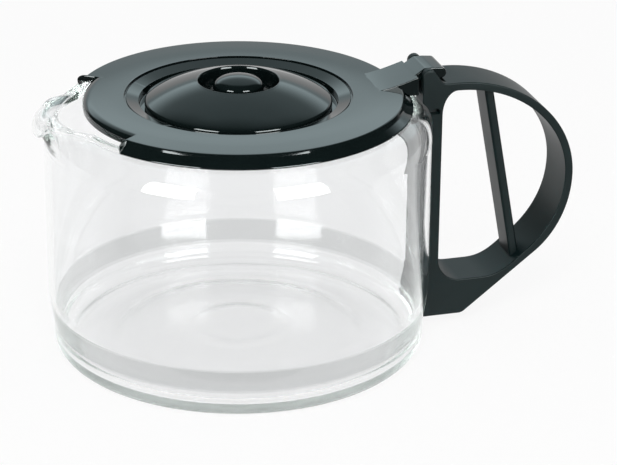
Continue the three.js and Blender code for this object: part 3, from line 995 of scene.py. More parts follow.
    def build(self, turning: TurningTree, finish: bpy.types.Material) -> None:
        """Makes the jug and hangs it on its body.

        Args:
            turning: The tree that turns its outline.
            finish: Its glass.
        """
        piece = turning.turn("jug_glass", sum(self.runs(), []), self.facets, finish)
        self.pull_spout(piece)
        piece.data.shade_smooth()
        finish_piece(piece, finish, Body.JUG, "glass_jug")

    def clearance(self, turning: TurningTree, offset: float, finish: bpy.types.Material) -> bpy.types.Object:
        """Solid that fills the jug's outside and a gap around it, to cut the handle with.

        Args:
            turning: The tree that turns it.
            offset: The gap.
            finish: The handle's plastic.

        Returns:
            The solid.
        """
        low, top = -self.cutter_below, self.rim_height + self.cutter_above
        foot = self.foot_radius + offset
        outside = [(0.0, low), (self.foot_radius - self.heel_radius, low)]
        outside += round_corner(outside[-1], (foot, low), (foot, self.heel_radius), self.cutter_steps)
        outside += self.wall_run(-offset, -offset, self.heel_radius, self.neck_z)
        outside += [(self.neck_radius + offset, top), (0.0, top)]
        return turning.turn("jug_clearance", outside, self.facets, finish)


@dataclass
class Lid:
    """Hinged lid: a cover with a seam, a groove and a spout cut-out, a dome with a well, and a button."""

    hinge: Point
    plate_under: float = 93.1
    plate_top: float = 95.8
    plate_steps: int = 6
    plate_margin: float = 4.0
    thickness: float = 1.9
    radius: float = 62.9
    skirt_bore: float = 61.5
    skirt_z: float = 91.4
    bevel_top: float = 59.2
    bevel_foot: float = 91.9
    bead: Point = (60.0, 94.1)
    edge_fall: float = 0.3
    edge_inset: float = 1.6
    edge_run: float = 3.0
    edge_ease: float = 0.45
    edge_steps: int = 6
    small_ease: float = 0.4
    seam_radius: float = 41.0
    seam_land: float = 1.6
    seam_lead: Point = (1.0, 0.6)
    seam_width: float = 0.7
    seam_depth: float = 1.1
    seam_ease: float = 0.15
    recess_z: float = 95.3
    recess_dish: float = 1.3
    groove_radius: float = 36.0
    groove_draft: Point = (0.1, 0.3)
    groove_ease: float = 0.35
    ledge_z: float = 91.2
    ledge_bore: float = 32.0
    ledge_edge: Point = (0.5, 0.6)
    cut_radius: float = 55.9
    cut_half_angle: float = math.radians(34.5)
    cut_corner: float = 1.8
    cut_corner_steps: int = 16
    cut_corner_margin: float = 1.3
    cut_stages: Sequence[Point] = ((0.0, 0.38), (0.3, 0.75), (0.7, 1.0))
    cut_lip: float = 1.3
    cut_foot: Point = (2.2, 2.0)
    cut_round: float = 2.4
    cut_reach: float = 1.35
    cut_upright: float = 0.4
    cut_lead: float = 0.4
    cut_steps: int = 10
    rib_outer: float = 57.8
    rib_inner: float = 56.2
    rib_z: float = 88.4
    rib_sink: float = 0.6
    dome_radius: float = 33.7
    dome_foot: float = 91.5
    dome_edge: float = 94.1
    dome_wall: float = 1.8
    dome_steps: int = 40
    dome_ease: float = 0.9
    dome_ease_steps: int = 8
    dome_ease_points: int = 3
    dome_sides: Point = (0.5, 0.6)
    crater_radius: float = 14.85
    crater_z: float = 101.2
    crater_round: float = 0.4
    crater_crest: float = 0.1
    crater_fall: float = 0.6
    crater_steps: int = 5
    well_radius: float = 14.35
    well_foot_radius: float = 13.95
    well_z: float = 90.7
    well_ledge: float = 2.0
    well_under: float = 89.1
    well_gap: float = 0.5
    button_radius: float = 9.0
    button_top: float = 102.8
    button_crown: float = 3.6
    button_wall: float = 1.6
    button_ease: float = 0.3
    button_steps: int = 23
    button_facets: int = 128
    spider_z: float = 91.0
    spider_radius: float = 13.65
    spider_ring: float = 1.6
    spider_thickness: float = 1.8
    spoke_width: float = 3.0
    spoke_edge: float = 0.25
    spoke_count: int = 3
    ramp_root: float = 48.0
    ramp_sink: float = 0.25
    ramp_width: float = 19.4
    ramp_end: float = 64.9
    ramp_top: float = 99.5
    ramp_foot: float = 92.6
    ramp_lead: float = 5.0
    ramp_trail: Point = (7.0, 2.2)
    ramp_corner: float = 0.4
    ramp_crest: float = 0.1
    ramp_overlap: float = 1.0
    ramp_edge: float = 0.25
    ramp_steps: int = 14
    ridge_setback: float = 1.2
    lever_setback: float = 2.1
    lever_rise: float = 2.3
    lever_reach: float = 7.2
    lever_thickness: float = 4.0
    lever_ease: float = 0.6
    lever_steps: int = 12
    barrel_radius: float = 3.2
    barrel_steps: int = 10
    web_left: float = 61.0
    web_right: float = 65.35
    web_foot: float = 91.6
    web_overlap: float = 2.0
    web_rise: float = 0.8
    web_setback: float = 0.6
    web_gap: float = 0.5
    knuckle_width: float = 14.0
    knuckle_edge: float = 0.35
    bore_radius: float = 1.85
    bore_length: float = 40.0
    facets: int = 240

    @property
    def root_z(self) -> float:
        """Height inside the plate at which the ramp and the knuckle are rooted."""
        return self.plate_top - self.thickness / 2

    def crown(self, radius: float) -> float:
        """Height of the plate's top at a radius."""
        inner = self.seam_radius + self.seam_land
        return self.plate_top - self.edge_fall * ((radius - inner) / (self.bevel_top - inner)) ** 2

    def edge_full(self) -> list[Point]:
        """Skirt, bevel and rolled edge, from the underside of the plate to its top."""
        inside = self.bevel_top - self.edge_inset
        return eased([(self.skirt_bore - self.edge_run, self.plate_under),
                      (self.skirt_bore, self.plate_under), (self.skirt_bore, self.skirt_z),
                      (self.radius, self.skirt_z),
                      (self.radius, self.bevel_foot), self.bead,
                      (self.bevel_top, self.plate_top - self.edge_fall), (inside, self.crown(inside))],
                     self.edge_ease, self.edge_steps)

    def edge_plain(self, count: int, out: float, low: float) -> np.ndarray:
        """Rounded edge of the plate without its skirt.

        Args:
            count: Number of points.
            out: Radius of the edge.
            low: Height of its underside.

        Returns:
            Evenly spread points from the underside to the top.
        """
        roll = min(self.cut_round, self.plate_top - low - self.cut_upright)
        inside, lead = out - self.cut_reach * roll, self.cut_lead * roll
        top = self.crown(min(inside, self.bevel_top))
        path = eased([(out - self.edge_run, self.plate_under), (out - self.cut_foot[0], self.plate_under),
                      (out - self.cut_foot[1], low), (out, low), (out, top - roll)], self.small_ease)
        path += bezier(path[-1], (out, top - lead), (out - lead, top), (inside, top), self.cut_steps)
        path = np.array(path)
        run = np.concatenate([[0], np.cumsum(np.linalg.norm(np.diff(path, axis=0), axis=1))])
        marks = np.linspace(0, run[-1], count)
        return np.stack([np.interp(marks, run, path[:, k]) for k in (0, 1)], 1)

    def underside(self) -> list[Point]:
        """Underside of a section.

        Returns:
            Points from the ledge's bore out to the plate.
        """
        under, low = self.recess_z - self.thickness, self.ledge_z - self.thickness
        groove, seam = self.groove_radius + self.thickness, self.seam_radius + self.thickness
        return eased([(self.ledge_bore, self.ledge_z - self.ledge_edge[1]), (self.ledge_bore, low),
                      (groove, low), (groove, under), (seam, under), (seam, self.plate_under),
                      (seam + self.plate_margin, self.plate_under)], self.small_ease, ROUND_STEPS)

    def topside(self) -> list[Point]:
        """Top of a section.

        Returns:
            Points from the plate over the seam and the recess to the ledge's bore.
        """
        flat = np.linspace(self.cut_radius - self.plate_margin, self.seam_radius + self.seam_lead[0],
                           self.plate_steps)
        seam_in, seam_z = self.seam_radius - self.seam_width, self.plate_top - self.seam_depth
        lip = self.recess_z - self.recess_dish
        run = [(r, self.crown(r)) for r in flat]
        run += eased([(self.seam_radius + self.seam_lead[1], self.plate_top),
                      (self.seam_radius, self.plate_top), (self.seam_radius, seam_z),
                      (seam_in, seam_z), (seam_in, self.recess_z),
                      (self.groove_radius, lip)], self.seam_ease, self.edge_steps)
        return run + eased([(self.groove_radius - self.groove_draft[0], lip),
                            (self.groove_radius - self.groove_draft[1], self.ledge_z),
                            (self.ledge_bore, self.ledge_z),
                            (self.ledge_bore, self.ledge_z - self.ledge_edge[0])], self.groove_ease)

    def sections(self) -> list[np.ndarray]:
        """Sections of the cover from beside the cut-out into it, point for point.

        Returns:
            The skirted section, one without its skirt, one drawn in, and one with a deeper edge.
        """
        edge = self.edge_full()
        plain = [self.edge_plain(len(edge), out, low) for out, low in (
            (self.radius, self.plate_under), (self.cut_radius, self.plate_under),
            (self.cut_radius, self.plate_under - self.cut_lip))]
        inner, top = self.underside(), self.topside()
        return [np.concatenate([inner, run, top]) for run in [edge] + plain]

    def azimuths(self) -> tuple[np.ndarray, np.ndarray]:
        """Angles of the cover's sections and how far each is cut for the spout.

        Returns:
            Angles from +X, and shares from 0 to 1.
        """
        half = self.cut_corner / self.radius / 2
        fine = np.linspace(-1, 1, self.cut_corner_steps + 1) * half
        plain = np.linspace(0, 2 * math.pi, self.facets, endpoint=False)
        near, far = math.pi - self.cut_half_angle, math.pi + self.cut_half_angle
        margin = half * self.cut_corner_margin
        clear = (np.abs(plain - near) > margin) & (np.abs(plain - far) > margin)
        angles = np.sort(np.concatenate([plain[clear], near + fine, far + fine]))
        away = np.abs(angles - math.pi)
        return angles, np.clip((self.cut_half_angle + half - away) / (2 * half), 0, 1)

    def cover_ring(self) -> bpy.types.Object:
        """Plate, skirt, seam, groove and ledge as one closed ring.

        Returns:
            The ring.
        """
        full, *stages = self.sections()
        rows = []
        for angle, share in zip(*self.azimuths()):
            section = full
            for stage, (start, end) in zip(stages, self.cut_stages):
                section = section + (stage - section) * smoothstep(share, start, end)
            rows.append([(r * math.cos(angle), r * math.sin(angle), z) for r, z in section])
        return loft("lid_cover_shell", rows, True)

    def rib(self) -> bpy.types.Object:
        """Locating rib under the plate, open at the spout.

        Returns:
            The rib.
        """
        top = self.plate_under + self.rib_sink
        section = eased([(self.rib_inner, top), (self.rib_inner, self.rib_z), (self.rib_outer, self.rib_z),
                         (self.rib_outer, top)], self.small_ease, ROUND_STEPS)
        end = math.pi - self.cut_half_angle - self.cut_corner / self.radius
        return loft("rib", [[(r * math.cos(a), r * math.sin(a), z) for r, z in section]
                            for a in np.linspace(-end, end, self.facets)], False)

    def ramp(self) -> bpy.types.Object:
        """Wide ramp that rises from the plate towards the hinge.

        Returns:
            The ramp.
        """
        root = (self.ramp_root, self.plate_top - self.ramp_sink)
        outline = [(self.ramp_root, self.root_z), root]
        outline += bezier(root, (self.ramp_root + self.ramp_lead, self.plate_top),
                          (self.ramp_end - self.ramp_trail[0], self.ramp_top - self.ramp_trail[1]),
                          (self.ramp_end - self.ramp_corner, self.ramp_top - self.ramp_crest),
                          self.ramp_steps)
        outline += [(self.ramp_end, self.ramp_top - self.ramp_corner), (self.ramp_end, self.ramp_foot),
                    (self.skirt_bore, self.ramp_foot), (self.bevel_top - self.ramp_overlap, self.root_z)]
        return slab("ramp", [outline], self.ramp_width, self.ramp_edge)

    def tongue(self) -> bpy.types.Object:
        """Knuckle between the handle's ears, which ends in the thumb lever.

        Returns:
            The tongue.
        """
        (x, z), half = self.hinge, self.lever_thickness / 2
        tip, left = x + self.lever_reach - half, self.web_left - self.web_overlap
        outline = [(left, self.root_z)]
        outline += eased([(left, self.plate_top + self.web_rise),
                          (self.ramp_end - self.web_setback, self.ramp_top - self.ramp_crest),
                          (x - self.ridge_setback, z + self.lever_rise),
                          (x + self.lever_setback, z + self.lever_rise),
                          (tip, z + half)], self.lever_ease, ROUND_STEPS)
        outline += arc((tip, z), (half, half), math.pi / 2, -math.pi / 2, self.lever_steps)[1:]
        outline += arc(self.hinge, (self.barrel_radius, self.barrel_radius), -math.pi / 4, -math.pi * 3 / 4,
                       self.barrel_steps)
        outline += [(self.web_right, z - half - self.web_gap), (self.web_right, self.web_foot),
                    (self.web_left, self.web_foot), (self.web_left, self.root_z)]
        return slab("tongue", [outline], self.knuckle_width, self.knuckle_edge)

    def build_cover(self, turning: TurningTree, finish: bpy.types.Material) -> None:
        """Makes the cover and hangs it on its body.

        Args:
            turning: The tree that turns its hinge bore.
            finish: Its plastic.
        """
        cover = self.cover_ring()
        for tool in (self.rib, self.ramp, self.tongue):
            combine(cover, tool(), Cut.JOIN)
        combine(cover, cross_rod(turning, self.hinge, self.bore_radius, self.bore_length, finish), Cut.REMOVE)
        clean(cover)
        shade(cover)
        finish_piece(cover, finish, Body.LID, "lid_cover")

    def build_dome(self, turning: TurningTree, finish: bpy.types.Material) -> None:
        """Makes the dome with its drip well and hangs it on its body.

        Args:
            turning: The tree that turns its outline.
            finish: Its plastic.
        """
        rise = self.crater_z - self.dome_edge
        depth = (self.dome_radius ** 2 - self.crater_radius ** 2 - rise ** 2) / (2 * rise)
        ball = math.hypot(depth, self.dome_radius)
        inside = self.crater_radius + self.crater_round
        crown = [(r, self.dome_edge - depth + math.sqrt(ball ** 2 - r ** 2))
                 for r in np.linspace(self.dome_radius, inside, self.dome_steps)]
        tube = self.well_radius + self.dome_wall
        bore = self.well_foot_radius - self.well_ledge
        skirt = self.dome_radius - self.dome_wall
        under = [(r, z - self.dome_wall) for r, z in crown if tube + self.well_gap < r < skirt]
        outside = eased([(skirt, self.dome_foot + self.dome_sides[0]), (skirt, self.dome_foot),
                         (self.dome_radius, self.dome_foot), crown[0], crown[self.dome_ease_points]],
                        self.dome_ease, self.dome_ease_steps)[:-1]
        lip = eased([crown[-1], (self.crater_radius - self.crater_crest, self.crater_z + self.crater_crest),
                     (self.well_radius, self.crater_z - self.crater_fall),
                     (self.well_foot_radius, self.well_z), (bore, self.well_z),
                     (bore, self.well_under), (tube, self.well_under),
                     (tube, under[-1][1]), under[-1]], self.small_ease, self.crater_steps)[1:]
        outline = outside + crown[self.dome_ease_points:] + lip + under[::-1]
        outline += [(skirt, under[0][1] - self.dome_sides[1]), outline[0]]
        dome = turning.turn("lid_dome_shell", outline, self.facets, finish)
        shade(dome)
        finish_piece(dome, finish, Body.LID, "lid_dome")

    def build_button(self, turning: TurningTree, spokes: SpokeTree, finish: bpy.types.Material) -> None:
        """Makes the round button with its ring of spokes and hangs it on its body.

        Args:
            turning: The tree that turns its outlines.
            spokes: The tree that spreads its spokes.
            finish: Its plastic.
        """
        low, high = self.spider_z, self.spider_z + self.spider_thickness
        shoulder = self.button_top - self.button_crown
        bore = self.button_radius - self.button_wall
        size = (self.button_radius, self.button_crown)
        crown = arc((0.0, shoulder), size, 0, math.pi / 2, self.button_steps)
        outline = eased([(0.0, shoulder), (bore, shoulder), (bore, low), (self.button_radius, low), crown[0]],
                        self.button_ease, ROUND_STEPS) + crown[1:-1] + [(0.0, self.button_top)]
        button = turning.turn("drip_button", outline, self.button_facets, finish)
        outer, inner = self.spider_radius, self.spider_radius - self.spider_ring
        middle = (outer + inner) / 2
        ring = eased([(middle, low), (outer, low), (outer, high), (inner, high), (inner, low), (middle, low)],
                     self.button_ease, ROUND_STEPS)
        combine(button, turning.turn("ring", ring, self.button_facets, finish), Cut.JOIN)
        start, end = self.button_radius - self.button_wall / 2, inner + self.spider_ring / 2
        outline = [(start, low), (end, low), (end, high), (start, high)]
        spoke = slab("spoke", [outline], self.spoke_width, self.spoke_edge)
        spokes.spread(spoke, self.spoke_count, finish)
        combine(button, spoke, Cut.JOIN)
        clean(button)
        shade(button)
        finish_piece(button, finish, Body.LID, "drip_stop_button")


@dataclass
class Handle:
    """Loop handle: a post bonded to the glass, a wedge foot, a round strap, a strut and two hinge ears."""

    hinge: Point
    width: float
    glass_gap: float = 1.2
    post_back: float = 71.2
    post_front: float = 74.3
    post_wrap: float = 0.9
    strap_out: float = 126.4
    strap_top: float = 96.1
    strap_mid: float = 56.0
    strap_thickness: float = 3.0
    strap_steps: int = 32
    crown_x: float = 80.0
    foot_z: float = 3.7
    foot_ease: float = 1.2
    wedge_end: float = 84.2
    slant: Point = (113.2, 26.3)
    slant_inset: float = 13.2
    slant_lead: Point = (0.55, 0.45)
    slant_steps: int = 16
    opening_floor: float = 17.6
    opening_corner: float = 9.0
    opening_lead: float = 0.45
    opening_steps: int = 10
    knee: Point = (109.6, 27.2)
    knee_run: float = 18.0
    knee_ease: float = 0.35
    knee_trail: float = 0.55
    knee_steps: int = 12
    saddle_x: float = 67.8
    saddle_top: float = 19.1
    shoulder_z: float = 80.0
    ear_radius: float = 2.5
    ear_lean: float = math.radians(35)
    ear_ease: float = 1.5
    ear_ease_steps: int = 6
    ear_steps: int = 20
    ear_thickness: float = 2.6
    ear_skin: float = 0.7
    pocket_radius: float = 7.8
    bore_radius: float = 1.85
    bore_length: float = 40.0
    strut_width: float = 12.0
    strut_thickness: float = 3.5
    strut_edge: float = 0.9
    strut_top: Point = (93.2, 92.0)
    strut_foot: Point = (106.1, 22.4)
    slot_size: tuple[float, float, float] = (4.1, 2.1, 3.0)
    slot_place: Point = (71.2, 85.8)
    slot_ease: float = 0.4
    slot_edge: float = 0.1
    edge: float = 0.4

    def lead(self, spot: Point) -> Point:
        """Control point that the strap's lower bend has beside a spot."""
        return tuple(c + self.slant_inset * share for c, share in zip(spot, self.slant_lead))

    def outer(self) -> list[Point]:
        """Outside of the loop, the block with its ears and the foot.

        Returns:
            A closed outline.
        """
        run = eased([(self.saddle_x, self.foot_z), (self.wedge_end, self.foot_z), self.slant], self.foot_ease)
        trail = (self.strap_out, self.strap_mid - self.slant_inset)
        run += bezier(self.slant, self.lead(self.slant), trail, (self.strap_out, self.strap_mid),
                      self.slant_steps)
        size = (self.strap_out - self.crown_x, self.strap_top - self.strap_mid)
        run += arc((self.crown_x, self.strap_mid), size, 0, math.pi / 2, self.strap_steps)[1:]
        ear = arc(self.hinge, (self.ear_radius, self.ear_radius), self.ear_lean, math.pi, self.ear_steps)
        heel = ear[0][0] + (ear[0][1] - self.strap_top) * math.tan(self.ear_lean)
        rise = [run[-1], (heel, self.strap_top), ear[0]]
        run += eased(rise, self.ear_ease, self.ear_ease_steps)[1:] + ear[1:]
        wrap = self.post_back - self.post_wrap
        return run + [(self.hinge[0] - self.ear_radius, self.shoulder_z), (wrap, self.shoulder_z),
                      (wrap, self.saddle_top), (self.saddle_x, self.saddle_top)]

    def opening(self) -> list[Point]:
        """Finger opening between the post and the strap.

        Returns:
            A closed outline.
        """
        right, top = self.strap_out - self.strap_thickness, self.strap_top - self.strap_thickness
        left, low, corner = self.post_front, self.opening_floor, self.opening_corner
        run = [(left, low + corner), (left, top - corner)]
        run += bezier(run[-1], (left, top - corner * self.opening_lead),
                      (left + (self.crown_x - left) * self.opening_lead, top), (self.crown_x, top),
                      self.opening_steps)
        run += arc((self.crown_x, self.strap_mid), (right - self.crown_x, top - self.strap_mid),
                   math.pi / 2, 0, self.strap_steps)[1:]
        run += bezier(run[-1], (right, self.strap_mid - self.slant_inset), self.lead(self.knee), self.knee,
                      self.slant_steps)
        slope = (self.slant[1] - self.foot_z) / (self.slant[0] - self.wedge_end)
        ease = self.knee_run * self.knee_ease
        run += bezier(self.knee, (self.knee[0] - ease, self.knee[1] - ease * slope),
                      (self.knee[0] - self.knee_run * self.knee_trail, low),
                      (self.knee[0] - self.knee_run, low), self.knee_steps)
        run.append((left + corner, low))
        return run + round_corner(run[-1], (left, low), run[0], self.opening_steps)[:-1]

    def strut(self) -> list[Point]:
        """Diagonal strut that ends inside the strap above and below."""
        half = self.strut_thickness / 2
        return [(x + side * half, z) for (x, z), side in (
            (self.strut_foot, -1), (self.strut_foot, 1), (self.strut_top, 1), (self.strut_top, -1))]

    def slot(self) -> list[Point]:
        """Small slot with round corners in each side of the post.

        Returns:
            A closed outline.
        """
        long, high, _ = self.slot_size
        x, z = self.slot_place
        turns = ((0, -1), (1, -1), (1, 1), (-1, 1), (-1, -1), (0, -1))
        outline = [(x + i * long / 2, z + k * high / 2) for i, k in turns]
        return eased(outline, self.slot_ease, ROUND_STEPS)[:-1]

    def build(self, jug: GlassJug, turning: TurningTree, finish: bpy.types.Material) -> None:
        """Makes the handle and hangs it on its body.

        Args:
            jug: The jug that it wraps.
            turning: The tree that turns its cutters.
            finish: Its plastic.
        """
        piece = slab("handle_loop", [self.outer(), self.opening()], self.width, self.edge)
        combine(piece, slab("strut", [self.strut()], self.strut_width, self.strut_edge), Cut.JOIN)
        combine(piece, jug.clearance(turning, self.glass_gap, finish), Cut.REMOVE)
        cheeks = self.width - 2 * self.ear_thickness
        shift = self.bore_length / 2 - self.width / 2 + self.ear_skin
        combine(piece, cross_rod(turning, self.hinge, self.pocket_radius, cheeks, finish), Cut.REMOVE)
        bore = cross_rod(turning, self.hinge, self.bore_radius, self.bore_length, finish, shift=shift)
        combine(piece, bore, Cut.REMOVE)
        for side in (-1, 1):
            cutter = slab("slot", [self.slot()], 2 * self.slot_size[2], self.slot_edge)
            cutter.data.transform(Matrix.Translation((0, side * self.width / 2 * MM, 0)))
            combine(piece, cutter, Cut.REMOVE)
        clean(piece)
        shade(piece)
        finish_piece(piece, finish, Body.JUG, "handle")


@dataclass
class HingePin:
    """Pin through the handle's ears and the lid's knuckle, with round ends, a little proud of the far ear."""

    radius: float
    crown: float = 0.3
    proud: float = 0.05

    def build(self, handle: Handle, turning: TurningTree, finish: bpy.types.Material) -> None:
        """Makes the pin and hangs it on its body.

        Args:
            handle: The handle that holds it.
            turning: The tree that turns it.
            finish: Its plastic.
        """
        pin = cross_rod(turning, handle.hinge, self.radius, handle.width - handle.ear_skin, finish,
                        self.crown, handle.ear_skin / 2 + self.proud)
        pin.name = "hinge_pin_rod"
        shade(pin)
        finish_piece(pin, finish, Body.JUG, "hinge_pin")


@dataclass
class SiliconeBond:
    """Silicone squeezed out between the glass and the handle, with uneven edges."""

    glass_radius: float
    thickness: float
    low: float
    high: float
    gap: float = 0.03
    half_width: float = 8.0
    waves: Sequence[Point] = ((0.45, 0.9), (0.3, 2.3), (0.18, 4.1))
    wave_run: float = 4.5
    side_shift: float = 1.7
    taper_rate: float = 4.0
    taper_least: float = 0.55
    side_fullness: float = 0.6
    face_fullness: float = 0.35
    sharp: float = 60.0
    rows: int = 60
    columns: int = 16

    def edge(self, height: float, side: int) -> float:
        """Half width of the bond at a height on one side.

        Args:
            height: The height.
            side: 1 towards +Y and -1 towards -Y.

        Returns:
            The half width.
        """
        along = (height - self.low) / self.wave_run
        ripple = sum(size * math.sin(rate * along + side * self.side_shift + rate)
                     for size, rate in self.waves)
        nearest = min(height - self.low, self.high - height) / (self.high - self.low)
        return (self.half_width + ripple) * min(1.0, self.taper_rate * nearest + self.taper_least)

    def build(self, name: str, node: str, finish: bpy.types.Material) -> None:
        """Makes a bond as a closed, bulged pad and hangs it on the jug's body.

        Args:
            name: The piece's name.
            node: The node that it stands for.
            finish: Its silicone.
        """
        middle, half = self.glass_radius + self.thickness / 2, self.thickness / 2 - self.gap
        rows = []
        for height in np.linspace(self.low, self.high, self.rows):
            row = []
            for turn in np.linspace(0, 2 * math.pi, 2 * self.columns, endpoint=False):
                across = math.copysign(abs(math.cos(turn)) ** self.side_fullness, math.cos(turn))
                depth = math.copysign(abs(math.sin(turn)) ** self.face_fullness, math.sin(turn))
                angle = across * self.edge(height, 1 if across > 0 else -1) / middle
                radius = middle + half * depth
                row.append((radius * math.cos(angle), radius * math.sin(angle), height))
            rows.append(row)
        pad = loft(name, rows, False)
        shade(pad, self.sharp)
        finish_piece(pad, finish, Body.JUG, node)


@dataclass(frozen=True)
class Studio:
    """White floor, white surroundings that darken towards the camera, two tall softboxes and a plain fill."""

    heading: float = math.radians(16.18)
    floor_drop: float = 0.3
    floor_size: float = 6.0
    floor_colour: Colour = (0.82, 0.82, 0.82, 1.0)
    floor_roughness: float = 0.9
    floor_fade: Point = (-0.12, 0.0)
    floor_white: float = 0.9
    floor_through: float = 0.87
    ambient: float = 0.62
    sky_tint: Colour = (0.82, 0.98, 1.02, 1.0)
    sky_tint_edge: Point = (0.2, 0.32)
    sky_level: float = 0.68
    sky_glow: float = 0.8
    sky_glow_edge: Point = (0.31, 0.375)
    sky_fall: float = 0.95
    sky_fall_edge: Point = (0.37, 0.62)
    front_level: float = 0.03
    back_edge: float = 0.3
    side_edge: float = 0.85
    soft_edge: float = 0.16
    box_distance: float = 1.3
    box_turn: float = math.radians(38)
    box_width: float = 0.7
    box_height: float = 0.95
    box_foot: float = 0.03
    box_radiance: float = 12.0
    fill_power: float = 9.0
    fill_size: float = 0.5
    fill_distance: float = 0.9
    fill_height: float = 1.05
    fill_aim: float = 0.06

    def forward(self) -> tuple[float, float]:
        """Level direction from the camera to the carafe."""
        return math.sin(self.heading), math.cos(self.heading)

    def seen(self, build: NodeBuilder) -> tuple[Field, Field]:
        """Masks of rays that show the background and of mirror rays.

        Args:
            build: A builder.

        Returns:
            The two masks.
        """
        camera = build.node("ShaderNodeLightPath", output="Is Camera Ray")
        plain = build.math("MAXIMUM", camera, camera.other("Is Transmission Ray"))
        return plain, camera.other("Is Glossy Ray") * (1 - plain)

    def surroundings(self) -> None:
        """Lights the world: white to look at, bright behind and dark in front for reflections."""
        world = bpy.data.worlds.new("studio")
        world.use_nodes = True
        bpy.context.scene.world = world
        build = NodeBuilder(world.node_tree)
        plain, mirror = self.seen(build)
        x, y, z = build.parts(build.node("ShaderNodeTexCoord", output="Generated"))
        ahead = self.forward()
        depth = x * ahead[0] + y * ahead[1]
        behind = build.ease(depth - z * self.back_edge, -self.soft_edge, self.soft_edge)
        glow = (build.ease(z, *self.sky_glow_edge) * self.sky_glow
                - build.ease(z, *self.sky_fall_edge) * self.sky_fall)
        aside = build.math("ABSOLUTE", x * ahead[1] - y * ahead[0])
        middle = 1 - build.ease(aside - depth * self.side_edge, -self.soft_edge, self.soft_edge)
        level = behind * middle * (glow + self.sky_level) + self.front_level
        strength = plain + mirror * level + (1 - plain - mirror) * self.ambient
        colour = build.blend(mirror * build.ease(z, *self.sky_tint_edge), WHITE, self.sky_tint)
        build.feed(world.node_tree.nodes["Background"], {"Color": colour, "Strength": strength})

    def floor(self) -> None:
        """Lays a white floor that keeps a faint shadow."""
        half = self.floor_size / MM / 2
        corners = [(x * half, y * half, -self.floor_drop) for x, y in ((-1, -1), (1, -1), (1, 1), (-1, 1))]
        floor = mesh_object("floor", corners, [(0, 1, 2, 3)])
        material, build, shader = new_material("floor_white")
        build.feed(shader, {"Base Color": self.floor_colour, "Roughness": self.floor_roughness})
        plain, mirror = self.seen(build)
        x, y, _ = build.parts(build.place())
        ahead = self.forward()
        back = build.ease(x * ahead[0] + y * ahead[1], *self.floor_fade)
        level = plain + mirror * (back * (1 - self.front_level) + self.front_level)
        white = build.blend(level, BLACK, WHITE)
        glow = build.node("ShaderNodeEmission", sockets={"Color": white, "Strength": 1.0})
        through = build.node("ShaderNodeLightPath", output="Is Transmission Ray")
        share = (plain + mirror) * self.floor_white - through * (self.floor_white - self.floor_through)
        lit = Field(build, shader.outputs[0])
        mixed = build.node("ShaderNodeMixShader", sockets={0: share, 1: lit, 2: glow})
        build.feed(material.node_tree.nodes["Material Output"], {"Surface": mixed})
        floor.data.materials.append(material)

    def softboxes(self) -> None:
        """Sets two tall softboxes left and right of the camera that show in glossy surfaces."""
        ahead = self.forward()
        height = self.box_foot + self.box_height / 2
        power = self.box_radiance * math.pi * self.box_width * self.box_height
        for name, turn in (("softbox_left", -self.box_turn), ("softbox_right", self.box_turn)):
            out = Vector((-ahead[0] * math.cos(turn) + ahead[1] * math.sin(turn),
                          -ahead[1] * math.cos(turn) - ahead[0] * math.sin(turn), 0)) * self.box_distance
            target = Vector((0, 0, height))
            lamp = self.area(name, out + target, target, (self.box_width, self.box_height), power)
            lamp.visible_diffuse = False

    def fill(self) -> None:
        """Hangs a fill above the camera that shapes the matt surfaces and casts the shadow."""
        ahead = self.forward()
        place = Vector((-ahead[0] * self.fill_distance, -ahead[1] * self.fill_distance, self.fill_height))
        target = Vector((0, 0, self.fill_aim))
        lamp = self.area("fill", place, target, (self.fill_size, self.fill_size), self.fill_power)
        lamp.visible_glossy = False
        lamp.visible_transmission = False

    def area(self, name: str, place: Vector, target: Vector, size: tuple[float, float],
             power: float) -> bpy.types.Object:
        """Makes an area lamp.

        Args:
            name: Its name.
            place: Where it stands, in metres.
            target: What it faces.
            size: Width and height in metres.
            power: Power in watts.

        Returns:
            The lamp.
        """
        data = bpy.data.lights.new(name, "AREA")
        data.shape = "RECTANGLE"
        data.size, data.size_y = size
        data.energy = power
        lamp = bpy.data.objects.new(name, data)
        aim = target - place
        lamp.matrix_world = Matrix.Translation(place) @ aim.to_track_quat("-Z", "Y").to_matrix().to_4x4()
        lamp.visible_camera = False
        bpy.context.collection.objects.link(lamp)
        return lamp


@dataclass(frozen=True)
class PhotoCamera:
    """Camera at the photograph's viewpoint."""

    place: tuple[float, float, float] = (-0.2185, -0.8448, 0.4156)
    heading: float = math.radians(16.18)
    pitch: float = math.radians(23.19)
    roll: float = math.radians(0.54)
    focal_pixels: float = 2587.0
    image_width: int = 617
    sensor: float = 36.0
    clip_start: float = 0.01

    def build(self) -> None:
        """Makes the camera and gives it to the scene."""
        data = bpy.data.cameras.new("photo_camera")
        data.sensor_width = self.sensor
        data.sensor_fit = "HORIZONTAL"
        data.lens = self.focal_pixels * self.sensor / self.image_width
        data.clip_start = self.clip_start
        forward = Vector((math.sin(self.heading) * math.cos(self.pitch),
                          math.cos(self.heading) * math.cos(self.pitch), -math.sin(self.pitch)))
        level = Vector((math.cos(self.heading), -math.sin(self.heading), 0))
        up = level.cross(forward)
        right = level * math.cos(self.roll) + up * math.sin(self.roll)
        top = up * math.cos(self.roll) - level * math.sin(self.roll)
        turn = Matrix((right, top, -forward)).transposed().to_4x4()
        camera = bpy.data.objects.new("photo_camera", data)
        camera.matrix_world = Matrix.Translation(self.place) @ turn
        bpy.context.collection.objects.link(camera)
        bpy.context.scene.camera = camera


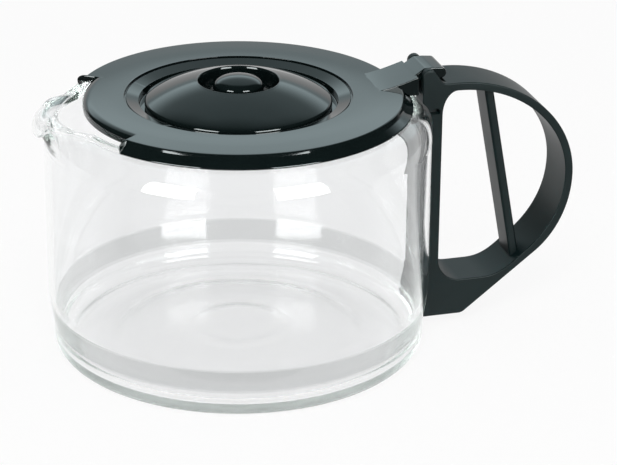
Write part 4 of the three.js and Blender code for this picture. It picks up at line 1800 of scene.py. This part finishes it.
def build_studio() -> None:
    """Sets the view, the camera, the surroundings, the floor and the lamps."""
    bpy.context.scene.view_settings.view_transform = "Standard"
    paths = bpy.context.scene.cycles
    paths.max_bounces = LIGHT_BOUNCES
    paths.glossy_bounces = LIGHT_BOUNCES
    paths.transmission_bounces = LIGHT_BOUNCES
    PhotoCamera().build()
    studio = Studio()
    studio.surroundings()
    studio.floor()
    studio.softboxes()
    studio.fill()


def main() -> None:
    """Builds the studio and the carafe."""
    logging.basicConfig(level=logging.INFO, format="%(name)s %(message)s")
    build_studio()

    glass = GlassFinish().material()
    lid_plastic = PlasticFinish(
        "lid_plastic", dark=(0.003, 0.006, 0.006, 1), light=(0.005, 0.009, 0.009, 1), roughness=0.06,
        roughness_spread=0.05, grain_size=0.5, grain_depth=0.0006, flow_depth=0.01).material()
    handle_plastic = PlasticFinish(
        "handle_plastic", dark=(0.0015, 0.0085, 0.009, 1), light=(0.003, 0.0115, 0.012, 1), roughness=0.4,
        roughness_spread=0.1, grain_size=0.35, grain_depth=0.008, flow_depth=0.02, gloss=0.2).material()
    pin_plastic = PlasticFinish(
        "pin_plastic", dark=(0.006, 0.010, 0.011, 1), light=(0.009, 0.014, 0.015, 1), roughness=0.4,
        roughness_spread=0.1, grain_size=0.3, grain_depth=0.005, gloss=0.3).material()
    silicone = SiliconeFinish().material()

    joint = [joint for joint in frame["record"]["behaviour"]["joints"] if joint["name"] == "lid_hinge"][0]
    hinge = (joint["pos_m"][0] / MM, joint["pos_m"][2] / MM)
    turning, spokes = TurningTree(), SpokeTree()
    jug = GlassJug(body_radius=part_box("glass_jug")[1][1] / MM)
    jug.build(turning, glass)
    lid = Lid(hinge)
    lid.build_cover(turning, lid_plastic)
    lid.build_dome(turning, lid_plastic)
    lid.build_button(turning, spokes, lid_plastic)
    handle = Handle(hinge, width=(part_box("handle")[1][1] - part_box("handle")[0][1]) / MM)
    handle.build(jug, turning, handle_plastic)
    low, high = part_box("hinge_pin")
    HingePin(radius=(high[0] - low[0]) / MM / 2).build(handle, turning, pin_plastic)
    pad_top = jug.band_low - FOOT_PAD_DROP
    for name, node, radius, top in (("bond_strip", "handle_bond_strip", jug.body_radius, jug.shoulder_z),
                                    ("bond_foot_pad", "foot_bond_pad", jug.foot_radius, pad_top)):
        low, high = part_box(node)
        bond = SiliconeBond(radius, handle.glass_gap, low[2] / MM, min(high[2] / MM, top))
        bond.build(name, node, silicone)


if __name__ == "__main__":
    main()
